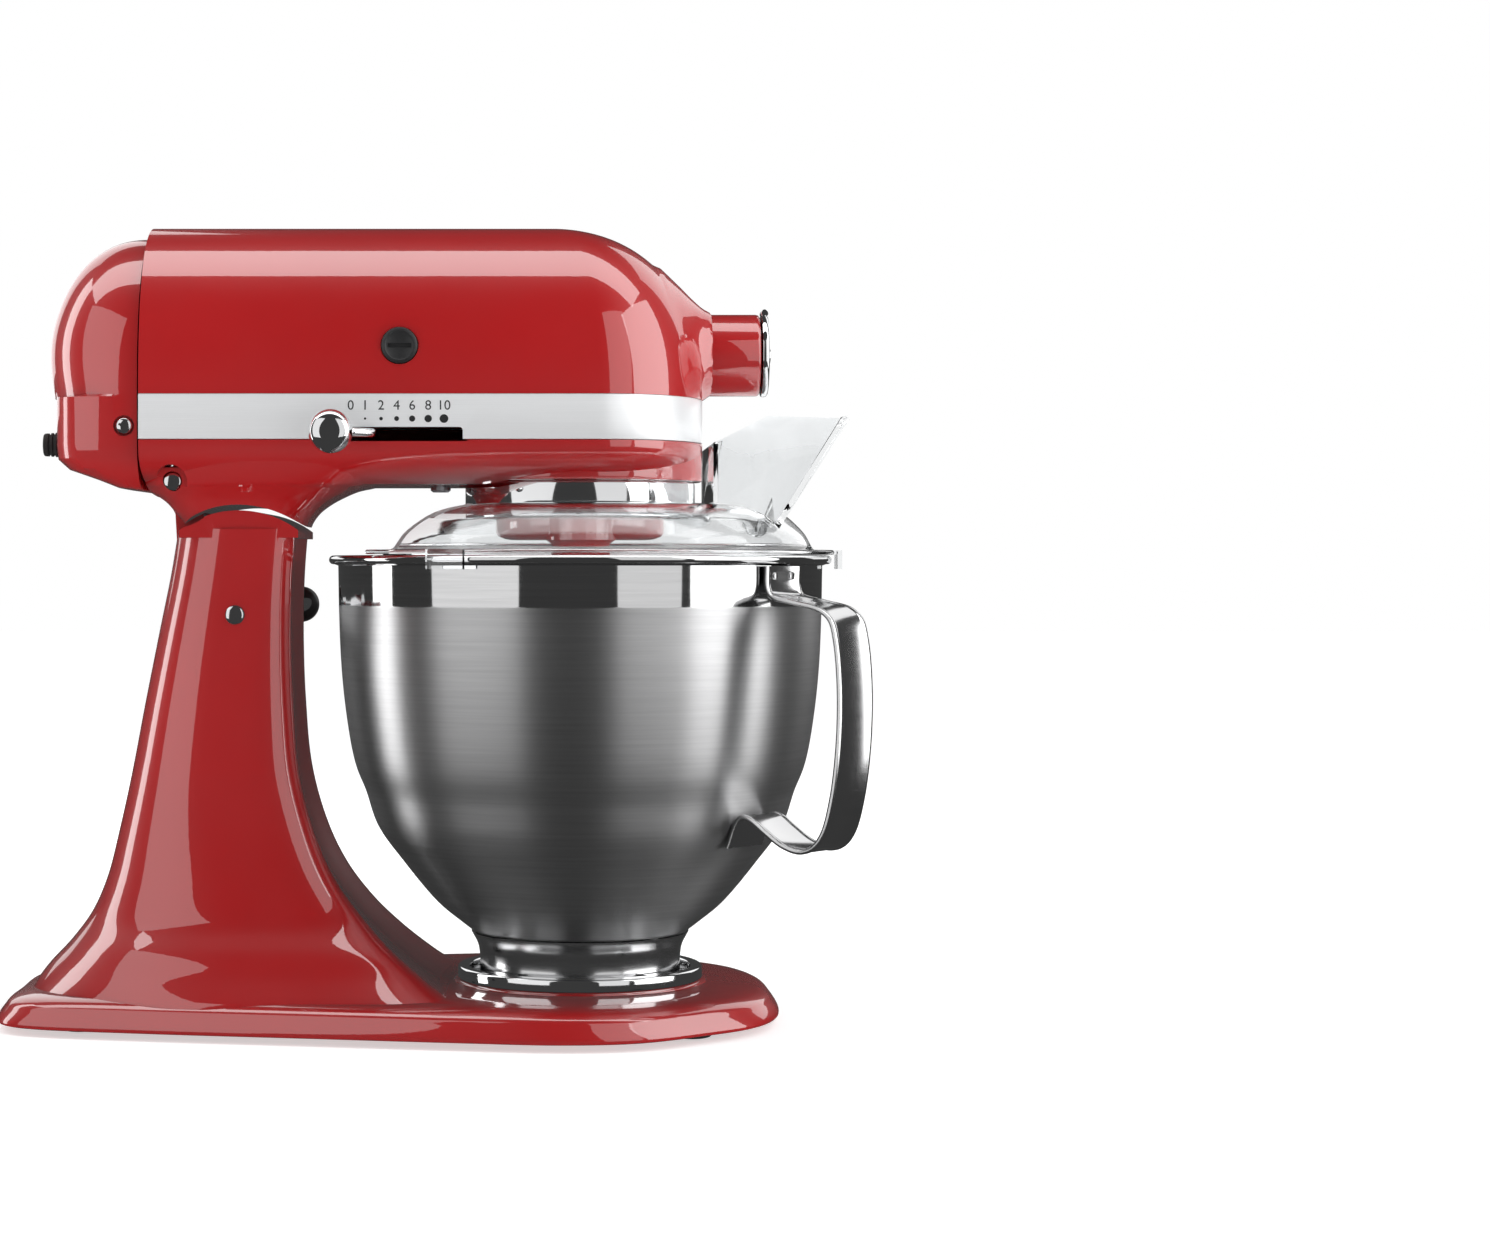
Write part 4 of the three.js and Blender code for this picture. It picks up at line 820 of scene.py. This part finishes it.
def make_lower_gearcase():
    case = combine(
        loft("gearcase_shell", belly_rings(24)), "DIFFERENCE",
        rod("drum_room", "z", DRUM_R, 200, DRUM_BOTTOM, segments=192),
        box("above", (-300, -100, BAND_BOTTOM - GAP), (100, 100, 300)),
    )
    drum = lathe("drum", [
        (0, DRUM_BOTTOM), (DRUM_R - 1, DRUM_BOTTOM), (DRUM_R - 0.3, DRUM_BOTTOM + 0.3),
        (DRUM_R, DRUM_BOTTOM + 1), (DRUM_R, BAND_BOTTOM - GAP), (0, BAND_BOTTOM - GAP),
    ], segments=192)
    neck = combine(
        loft("neck", [neck_ring(row) for row in curve_through(NECK, 40)]), "INTERSECT",
        box("neck_limit", (HEAD_BACK, -80, 210), (0, 80, 260)),
    )
    inlay = loft("inlay", [groove(BAND_BOTTOM - GAP - 0.2), groove(SPLIT_Z - 0.15)])
    combine(case, "UNION", inlay, drum, neck, rod("boss", "z", 49.6, 231.5, 248, segments=128))
    coarse = {"steps": 24, "sides": 2}
    inner = head_outline(1, 1, WALL, HEAD_BACK - 2, **coarse)
    narrow = head_outline(0.86, 0.98, WALL, HEAD_BACK - 2, **coarse)
    combine(
        case, "DIFFERENCE",
        loft("hollow", [at_height(narrow, 250), at_height(inner, 261), at_height(inner, 275)]),
    )
    for name, axis, r, low, high, at, segments in (
        ("ring_gear_room", "z", 46.3, 225, 244.9, (0, 0, 0), 96),
        ("shaft_hole", "z", 6.6, 240, 255, (0, 0, 0), 48),
        ("column_room", "y", ARC_HEAD_R, -80, 80, (ARC_X, 0, ARC_Z), 192),
        ("pin_hole", "y", PIN_R + GAP, -80, 80, (HINGE_X, 0, HINGE_Z), 48),
        ("pin_well", "y", 7, 50.5, 80, (HINGE_X, 0, HINGE_Z), 48),
        ("pin_well", "y", 7, -80, -50.5, (HINGE_X, 0, HINGE_Z), 48),
        ("screw_hole", "z", 3, 240, 255, (-64, 0, 0), 48),
    ):
        combine(case, "DIFFERENCE", rod(name, axis, r, low, high, at, segments))
    combine(case, "DIFFERENCE", box("speed_slot", (-104, -80, 261), (-50, -50, 267.4)), *tongue_rooms())
    piece(case, "head", "red_paint", "lower_gearcase", angle=30)


def turn_about(centre, degrees, axis):
    turn = Matrix.Rotation(math.radians(degrees), 4, axis)
    return Matrix.Translation(centre) @ turn @ Matrix.Translation(-centre)


def turned_about_y(obj, degrees, x, z):
    centre = Vector(((x + AXIS_X) * MM, 0, z * MM))
    obj.data.transform(turn_about(centre, degrees, "Y"))
    return obj


def tongue_rooms():
    """Room for the stand's tongue as the head tilts up round the hinge pin."""
    return [turned_about_y(tongue(0.8), MAX_TILT * i / 4, HINGE_X, HINGE_Z) for i in range(5)]


# ---------------------------------------------------------------- trim band and its scale
def make_trim_band():
    edge = [(0.6, 0), (0.2, 0.15), (0, 0.5)]
    rings = [at_height(head_outline(1, 1, inset), BAND_BOTTOM + up) for inset, up in edge]
    rings += [at_height(head_outline(1, 1, inset), BAND_TOP - up) for inset, up in reversed(edge)]
    band = loft("trim_strip", rings)
    inner = [at_height(head_outline(1, 1, BAND_DEPTH, HEAD_BACK - 5), z) for z in (250, 290)]
    notch = [
        (-102, 255), (-102, 265.8), *arc((-100.5, 265.8), 1.5, 180, 90, 6),
        *arc((-53.5, 265.8), 1.5, 90, 0, 6), (-52, 255),
    ]
    combine(band, "DIFFERENCE", loft("inner", inner), prism("notch", notch, "y", -80, -50))
    piece(band, "head", "trim_aluminium", "trim_band", angle=30)


SCALE_TEXT = {"0": -101, "1": -94.7, "2": -87.7, "4": -80.9, "6": -74.1, "8": -67.1, "10": -60.2}
FIGURE_Z, FIGURE_SIZE, DOT_Z = 276.6, 6.0, 270.9


def text_mesh(text, x, z, size):
    curve = bpy.data.curves.new("figure", "FONT")
    curve.body = text
    curve.size = size
    curve.align_x = "CENTER"
    curve.align_y = "CENTER"
    curve.extrude = 0.03
    curve.resolution_u = 4
    obj = bpy.data.objects.new("figure", curve)
    bpy.context.scene.collection.objects.link(obj)
    depsgraph = bpy.context.evaluated_depsgraph_get()
    mesh = bpy.data.meshes.new_from_object(obj.evaluated_get(depsgraph))
    bpy.data.objects.remove(obj)
    place = Matrix.Translation(Vector(((x + AXIS_X) * MM, -(HEAD_HALF + 0.02) * MM, z * MM)))
    mesh.transform(place @ Matrix.Rotation(math.pi / 2, 4, "X") @ Matrix.Scale(MM, 4))
    figure = bpy.data.objects.new("figure", mesh)
    bpy.context.scene.collection.objects.link(figure)
    return figure


def make_speed_scale():
    """Printed figures and dots that grow with the speed."""
    marks = [text_mesh(text, x, FIGURE_Z, FIGURE_SIZE) for text, x in SCALE_TEXT.items()]
    for i, x in enumerate(list(SCALE_TEXT.values())[1:]):
        r = 0.5 + 0.28 * i
        marks.append(
            lathe("dot", [(0, -65.66), (r, -65.66), (r, -65.55), (0, -65.55)], "y", (x, 0, DOT_Z), 32)
        )
    merge("speed_scale", marks, "head", "black_plastic")


def merge(name, objects, body, slot, *nodes):
    """Puts several loose meshes into one piece."""
    shape = bmesh.new()
    for obj in objects:
        shape.from_mesh(obj.data)
        bpy.data.objects.remove(obj)
    mesh = bpy.data.meshes.new(name)
    shape.to_mesh(mesh)
    shape.free()
    obj = bpy.data.objects.new(name, mesh)
    bpy.context.scene.collection.objects.link(obj)
    return piece(obj, body, slot, *nodes)


# ---------------------------------------------------------------- end cap
CAP_HALF, CAP_TOP, CAP_BOX_BACK, CAP_DOME_BACK = 61, 355.5, -235.7, -242.8
CAP_BOX = [
    (240.4, -200, 46), (241.5, -208, 50), (245, -217, 54), (249.5, -230, 58), (254, -235, 60),
    (260, CAP_BOX_BACK, 60.7), (BAND_TOP - 1, CAP_BOX_BACK, CAP_HALF),
]


def cap_rings(inset, front, rows, count):
    def plan(z, back, half):
        power = 2 / 4 if z < BAND_TOP else 2 / 2.5
        points = []
        for a in np.linspace(-math.pi / 2, math.pi / 2, 400):
            x = front - (front - back - inset) * signed_power(math.cos(a), power)
            points.append((x, (half - inset) * signed_power(math.sin(a), power)))
        line = np.array(points)
        steps = np.r_[0, np.cumsum(np.linalg.norm(np.diff(line, axis=0), axis=1))]
        wanted = np.linspace(0, steps[-1], count)
        return [
            (
                float(np.interp(w, steps, line[:, 0])), float(np.interp(w, steps, line[:, 1])), z,
            ) for w in wanted
        ]

    low = [(z + (inset if z < 250 else 0), back, half) for z, back, half in CAP_BOX]
    dome = []
    for degrees in np.linspace(0, 88.5, rows):
        t = math.sin(math.radians(degrees)) ** (2 / 2.2)
        bulge = 4 * math.sin(min(1, t * 2.2) * math.pi / 2)
        back = front + (CAP_DOME_BACK + 4 - bulge - front) * super_root(t, 2.3)
        dome.append((BAND_TOP + (CAP_TOP - BAND_TOP - inset) * t, back, CAP_HALF * super_root(t, 2.4)))
    return [plan(*row) for row in [*low, *dome]]


def make_end_cap():
    cap = loft("end_cap_shell", cap_rings(0, -195.2, 48, 160))
    combine(cap, "DIFFERENCE", loft("hollow", cap_rings(4, -193.2, 14, 48)))
    combine(
        cap, "DIFFERENCE", rod("gland_hole", "x", 6.3, -260, -210, (0, 0, 262)),
        rod("well", "y", 4.6, 58.6, 80, (-201, 0, 268)), rod("well", "y", 4.6, -80, -58.6, (-201, 0, 268)),
        *tongue_rooms(),
    )
    piece(cap, "head", "red_paint", "end_cap", angle=30)


def mirrored_y(obj):
    obj.data.transform(Matrix.Scale(-1, 4, (0, 1, 0)))
    obj.data.flip_normals()
    return obj


def make_side_pairs():
    """The screws of the end cap and the caps over the motor brushes, alike on both sides."""
    for side in ("left", "right"):
        profile = [(0, 0), (3.9, 0), (3.9, 0.9), (3.6, 1.5), (2.9, 2), (1.8, 2.3), (0, 2.4)]
        screw = lathe("screw_head_" + side, profile, "y", (-201, 58.9, 268), 64)
        for turn in (0, 90):
            slot = box("slot", (-203.4, 60.2, 267.5), (-198.6, 63, 268.5))
            combine(screw, "DIFFERENCE", turned_about_y(slot, turn + 20, -201, 268))
        cap = lathe("brush_cover_" + side, [
            (0, 56), (6, 56), (6, 60.5), (7.9, 60.5), (8, 60.9), (8, 65), (7.8, 65.7), (7.2, 66.1),
            (6.4, 66.2), (5.9, 65.8), (0, 65.6),
        ], "y", (BRUSH_X, 0, SHAFT_Z), 96)
        combine(
            cap, "DIFFERENCE",
            box("slot", (BRUSH_X - 5, 64.6, SHAFT_Z - 0.9), (BRUSH_X + 5, 68, SHAFT_Z + 0.9)),
        )
        if side == "left":
            mirrored_y(screw)
            mirrored_y(cap)
        piece(screw, "head", "chrome", "end_cap_screw_" + side)
        piece(cap, "head", "black_plastic", "brush_cap_" + side)


def make_cord_gland():
    profile = [(3.2, -246), (4.8, -246), (5.2, -245.6)]
    for i in range(4):
        x = -244.6 + 2 * i
        profile += [
            (5.3 + 0.16 * i, x), (5.3 + 0.16 * i, x + 0.9), (4.7 + 0.2 * i, x + 1.1),
            (4.7 + 0.2 * i, x + 1.8),
        ]
    profile += [
        (6, -236.5), (8.6, -236.5), (9, -236.2), (8.8, -236), (6, -236), (6, -224), (3.2, -224),
        (3.2, -246),
    ]
    piece(lathe("gland_sleeve", profile, "x", (0, 0, 262), 64), "head", "rubber", "cord_gland")


# ---------------------------------------------------------------- attachment hub
def make_hub_cover():
    profile = [
        (0, 82.8), (18.2, 82.8), (18.8, 83), (19, 83.5), (19, 84.6), (18.7, 85.3), (17.8, 85.9), (12, 86.3),
        (4.4, 86.5), (3.9, 86.8), (3.6, 87.2), (2.8, 87.4), (0, 87.4),
    ]
    cover = lathe("hub_cover_disc", profile, "x", (0, 0, SHAFT_Z), 160)
    combine(cover, "UNION",
        lathe("barrel", [(0, -5), (1.4, -5), (1.7, -4.6), (1.7, 4.6), (1.4, 5), (0, 5)], "y",
                                  (84.5, 0, SHAFT_Z + 19.2), 32))
    piece(cover, "hub_door", "chrome", "hub_cover")


def make_attachment_knob():
    rings = []
    for y, shrink in ((45, 0.8), (45.3, 0.3), (46, 0), (59.6, 0), (60.6, 0.5), (61, 1.4)):
        ring = []
        for i in range(240):
            a = TAU * i / 240
            r = 10.5 + 0.5 * math.cos(10 * a) - shrink
            ring.append((KNOB_X + r * math.cos(a), y, SHAFT_Z + r * math.sin(a)))
        rings.append(ring)
    piece(loft("attachment_knob_grip", rings), "attachment_clamp", "black_plastic", "attachment_knob")


# ---------------------------------------------------------------- speed lever
def sweep(name, line, r, sides=32):
    """A round rod along a path in a plane of constant Z, with flat ends."""
    path = curve_through(line, 60)
    along = np.gradient(path, axis=0)
    along /= np.linalg.norm(along, axis=1)[:, None]
    rings = []
    for point, forward in zip(path, along):
        across = np.array([-forward[1], forward[0], 0])
        rings.append([
            tuple(
                point + r * (
                    math.cos(TAU * i / sides) * across + math.sin(TAU * i / sides) * np.array([0, 0, 1])
                )
            ) for i in range(sides)
        ])
    return loft(name, rings)


def make_speed_lever():
    line = [
        (SPEED_X, -50, SPEED_Z), (SPEED_X, -60, SPEED_Z), (SPEED_X - 1, -67.5, SPEED_Z),
        (SPEED_X - 8, -74, SPEED_Z), (SPEED_X - 16.5, -77, SPEED_Z),
    ]
    piece(sweep("speed_lever_stem", line, 2), "speed_lever", "chrome", "speed_lever_rod")
    profile = curve_through([(0, -91), (5, -90.6), (8.1, -88.8), (9.5, -85), (9.5, -81.6), (8.1, -77.6),
        (5, -75.7),
                             (0, -75.4)], 60)
    profile[0][0] = profile[-1][0] = 0
    knob = lathe("speed_lever_ball", [tuple(p) for p in profile], "y", (SPEED_X - 17.6, 0, SPEED_Z), 96)
    combine(knob, "DIFFERENCE", sweep("socket", [*line[1:4], (SPEED_X - 17.4, -77.3, SPEED_Z)], 2.2))
    piece(knob, "speed_lever", "chrome", "speed_lever_knob")


# ---------------------------------------------------------------- planetary drive
def make_drip_ring():
    profile = [
        (49.9, 229.9), (50.2, 229.6), (51.6, 229.6), (52.3, 229.9), (52.6, 230.6), (52.6, 243.6),
        (52.3, 244.2), (51.8, 244.3), (49.9, 244.3), (49.9, 229.9),
    ]
    piece(lathe("drip_ring_band", profile, segments=192), "head", "chrome", "drip_ring")


def make_planetary():
    disc = lathe("planetary_disc", [
        (0, 217.4), (29, 217.4), (32, 217.8), (35, 219.2), (37.4, 221.5), (38.5, 224), (38.7, 226),
        (38.7, 229), (38.2, 229.5), (0, 229.5),
    ], segments=160)
    boss = lathe("boss", [
        (0, 204), (11, 204), (12, 204.3), (13, 205.4), (13.2, 206.6), (13.2, 213.4), (13.9, 215.6),
        (16, 217.8), (16, 229), (0, 229),
    ], at=(0, BEATER_Y, 0), segments=96)
    combine(disc, "UNION", boss)
    combine(
        disc, "DIFFERENCE", rod("bore", "z", 6.3, 219.5, 240),
        rod("bore", "z", 5.6, 190, 240, (0, BEATER_Y, 0)),
    )
    piece(disc, "planetary_drive", "red_paint", "planetary")


def make_beater_spindle():
    spindle = lathe("beater_shaft", [
        (0, 180), (5, 180), (5.9, 180.4), (6.3, 181.2), (6.3, 203.2), (5.9, 203.6), (5.3, 203.6),
        (5.3, 233.4), (4, 233.4), (4, 244), (0, 244),
    ], segments=64)
    pin = lathe(
        "pin", [(0, -11), (1.3, -11), (1.8, -10.5), (1.8, 10.5), (1.3, 11), (0, 11)], "x", (0, 0, 190),
        32,
    )
    combine(spindle, "UNION", pin)
    spindle.data.transform(Matrix.Translation((0, BEATER_Y * MM, 0)))
    piece(spindle, "beater_drive", "chrome", "beater_spindle")


# ---------------------------------------------------------------- bowl
BOWL_WALL = [
    (49, 39.8), (54.2, 43.8), (65.3, 53), (81, 71.8), (92.6, 88), (98.3, 104.4), (102.2, 113.9),
    (104.6, 123.3), (107.7, 143.5), (109.5, 163), (110.4, 185), (110.8, 206.6),
]
BOWL_SHEET = 1.2
RIM_R, RIM_BOTTOM, RIM_TOP = 115, 207.2, 211.2
HANDLE_ANGLE, HANDLE_HALF = -39, 13
HANDLE_LINE = [
    (112.6, 206.3), (112.6, 197.5), (114.5, 193.6), (127, 190.6), (140, 187.6), (145.4, 183.4),
    (148, 175), (150, 155), (149.4, 130), (146, 106), (141.4, 91.6), (136.5, 85.8), (130, 83.6),
    (121, 85.6), (111, 91.6), (104, 96.2), (99.4, 97), (96.4, 94), (91.9, 83.2),
]


def make_bowl():
    wall = curve_through(BOWL_WALL, 110)
    inner = offset_line(wall, BOWL_SHEET)[::-1]
    middle = (RIM_BOTTOM + RIM_TOP) / 2
    rim = arc((RIM_R - 2, middle), 2, -100, 90, 14) + [(111.4, RIM_TOP), (110.2, RIM_TOP - 0.5)]
    profile = [(0, 41.2), (36, 41), (42, 40), *map(tuple, wall), *rim, *map(tuple, inner[1:]), (42, 41.4),
        (36, 42.2),
               (0, 42.4)]
    piece(lathe("bowl_shell", profile, segments=256), "mixing_bowl", "brushed_steel", "bowl", angle=50)


def make_bowl_foot():
    outer = curve_through([(46, 20.1), (45.8, 24), (45.9, 28), (46.8, 33.5), (49.8, 39.4)], 30)
    inner = [(r - 1.3, z) for r, z in reversed(outer)]
    foot = lathe("bowl_foot_ring", [*map(tuple, outer), *inner, tuple(outer[0])], segments=192)
    for angle in range(45, 405, 90):
        combine(foot, "UNION", sector("lug", 45.2, 49.6, 9, angle, 20.1, 21.9))
    piece(foot, "mixing_bowl", "polished_steel", "bowl_foot")


def make_bowl_handle():
    """A strap with folded edges, with spot-weld dots on its upper tab."""
    line = curve_through(HANDLE_LINE, 150)
    along = np.gradient(line, axis=0)
    along /= np.linalg.norm(along, axis=1)[:, None]
    half = [(0, 0.62), (9.6, 0.62), (10.4, 0.8), (10.9, 1.05), (12.4, 1.1), (12.85, 0.8), (HANDLE_HALF, 0)]
    front = [*[(-y, h) for y, h in reversed(half[1:])], *half]
    section = [*front, *[(y, -h) for y, h in reversed(front[1:-1])]]
    rings = []
    for (r, z), (dr, dz) in zip(line, along):
        rings.append([(r - dz * h, y, z + dr * h) for y, h in section])
    handle = loft("handle_strap", rings)
    for y in (-6, 6):
        weld = lathe("weld", [(0, 112), (1.7, 112), (1.5, 113.6), (0, 113.75)], "x", (0, y, 202), 32)
        combine(handle, "UNION", weld)
    outside = [(0, 70), *map(tuple, offset_line(BOWL_WALL[3:], -GAP)), (111.2, 208), (0, 208)]
    combine(handle, "DIFFERENCE", lathe("bowl_room", outside, segments=256))
    handle.data.transform(turn_about_mixing_axis(HANDLE_ANGLE))
    piece(handle, "mixing_bowl", "polished_steel", "bowl_handle", angle=45)


def turn_about_mixing_axis(degrees):
    return turn_about(Vector((AXIS_X * MM, 0, 0)), degrees, "Z")


# ---------------------------------------------------------------- pouring shield and chute
SHIELD_BOTTOM, SHIELD_SHEET, FLANGE_R = 211.6, 2, 116.3
SLOT_HALF, SLOT_FRONT = 67.5, 58
CHUTE_HALF = 52.2
DOME = [
    (107.4, 213.6), (106.4, 214.4), (102.9, 220.7), (98.3, 225.7), (93, 230), (85.4, 233), (77.6, 234),
    (62.5, 234.4), (40, 234.5),
]


def slot_outline(grow):
    r = SLOT_HALF - 0.5
    centre = SLOT_FRONT - r
    curve = [
        (centre + (r + grow) * math.cos(a), (SLOT_HALF + grow) * math.sin(a))
        for a in np.linspace(-math.pi / 2, math.pi / 2, 97)
    ]
    return [(-140, -SLOT_HALF - grow), *curve, (-140, SLOT_HALF + grow)]


def make_pouring_shield():
    dome = [tuple(p) for p in curve_through(DOME, 60)]
    inside = [tuple(p) for p in offset_line(dome, SHIELD_SHEET)]
    rim = [
        (105.2, SHIELD_BOTTOM), (FLANGE_R - 0.6, SHIELD_BOTTOM),
        *arc((FLANGE_R - 1, SHIELD_BOTTOM + 1), 1, -60, 80, 8),
    ]
    shield = lathe(
        "shield_cover", [*rim, *dome, *reversed(inside[4:]), (105.2, SHIELD_BOTTOM)], segments=224,
    )
    web = combine(
        prism("web", slot_outline(SHIELD_SHEET), "z", 226.4, 233.6), "DIFFERENCE",
        prism("slot", slot_outline(0), "z", 220, 240),
    )
    combine(web, "INTERSECT", lathe("web_limit", [
        (0, 220), (97.6, 220), (97.6, 226.4), (90, 231), (84, 233.6), (0, 233.6),
    ], segments=160))
    combine(shield, "UNION", web)
    for angle in (-120, 120):
        combine(
            shield, "UNION", sector("tab", 112, 118.3, 4.5, angle, SHIELD_BOTTOM, SHIELD_BOTTOM + 1.9),
            sector("hook", 116.4, 118.3, 4.5, angle, 205, SHIELD_BOTTOM + 1),
        )
    combine(
        shield, "UNION", sector("tab", 112, 119.8, 6, 0, SHIELD_BOTTOM, SHIELD_BOTTOM + 1.9),
        sector("hook", 117.8, 119.8, 4.5, 0, 205, SHIELD_BOTTOM + 1),
    )
    combine(
        shield, "DIFFERENCE", prism("slot", slot_outline(0), "z", 200, 250),
        box("pour_hole", (62.5, -43, 215), (85, 43, 240)),
    )
    piece(shield, "splash_shield", "clear_plastic", "pouring_shield", angle=30)
    shield.visible_shadow = False


def make_pouring_chute():
    side = [(60, 216), (60, 261.4), (82.4, 272.6), (114.6, 271.8), (80, 216)]
    lip = [(80, 216), (114.6, 271.2), *arc((116.7, 270.9), 1.9, 120, 10, 8), (83, 216)]
    back = [(58.4, 216), (60.6, 216), (60.6, 261), (60, 261.4), (58.9, 261.2), (58.4, 260.4)]
    chute = prism("chute_walls", lip, "y", -CHUTE_HALF, CHUTE_HALF)
    combine(
        chute, "UNION", prism("back", back, "y", -CHUTE_HALF, CHUTE_HALF),
        prism("side", side, "y", -CHUTE_HALF, -CHUTE_HALF + 2),
        prism("side", side, "y", CHUTE_HALF - 2, CHUTE_HALF),
    )
    seat = lathe("seat", [
        (0, 200), (120, 200), (120, 214), *[tuple(p) for p in offset_line(curve_through(DOME, 40), -0.4)],
        (0, 234.9),
    ], segments=224)
    combine(chute, "DIFFERENCE", seat)
    soften(chute, 0.5, 2, 35)
    bake_modifiers(chute)
    piece(chute, "chute", "clear_plastic", "pouring_chute", angle=30)
    chute.visible_shadow = False


# ---------------------------------------------------------------- the scene
def paint_cad_nodes():
    """Gives each carried-over CAD node the procedural finish of its slot."""
    for row in frame["record"]["subparts"]:
        obj = frame["nodes"][row["node"]]
        obj.data.materials.clear()
        obj.data.materials.append(MATERIALS[row["material_slot"]])


set_up_scene()
paint_cad_nodes()
make_stand()
make_feet()
make_clamp_plate()
make_hinge_pin()
make_lock_lever()
make_upper_housing()
make_lower_gearcase()
make_trim_band()
make_speed_scale()
make_end_cap()
make_side_pairs()
make_cord_gland()
make_hub_cover()
make_attachment_knob()
make_speed_lever()
make_drip_ring()
make_planetary()
make_beater_spindle()
make_bowl()
make_bowl_foot()
make_bowl_handle()
make_pouring_shield()
make_pouring_chute()
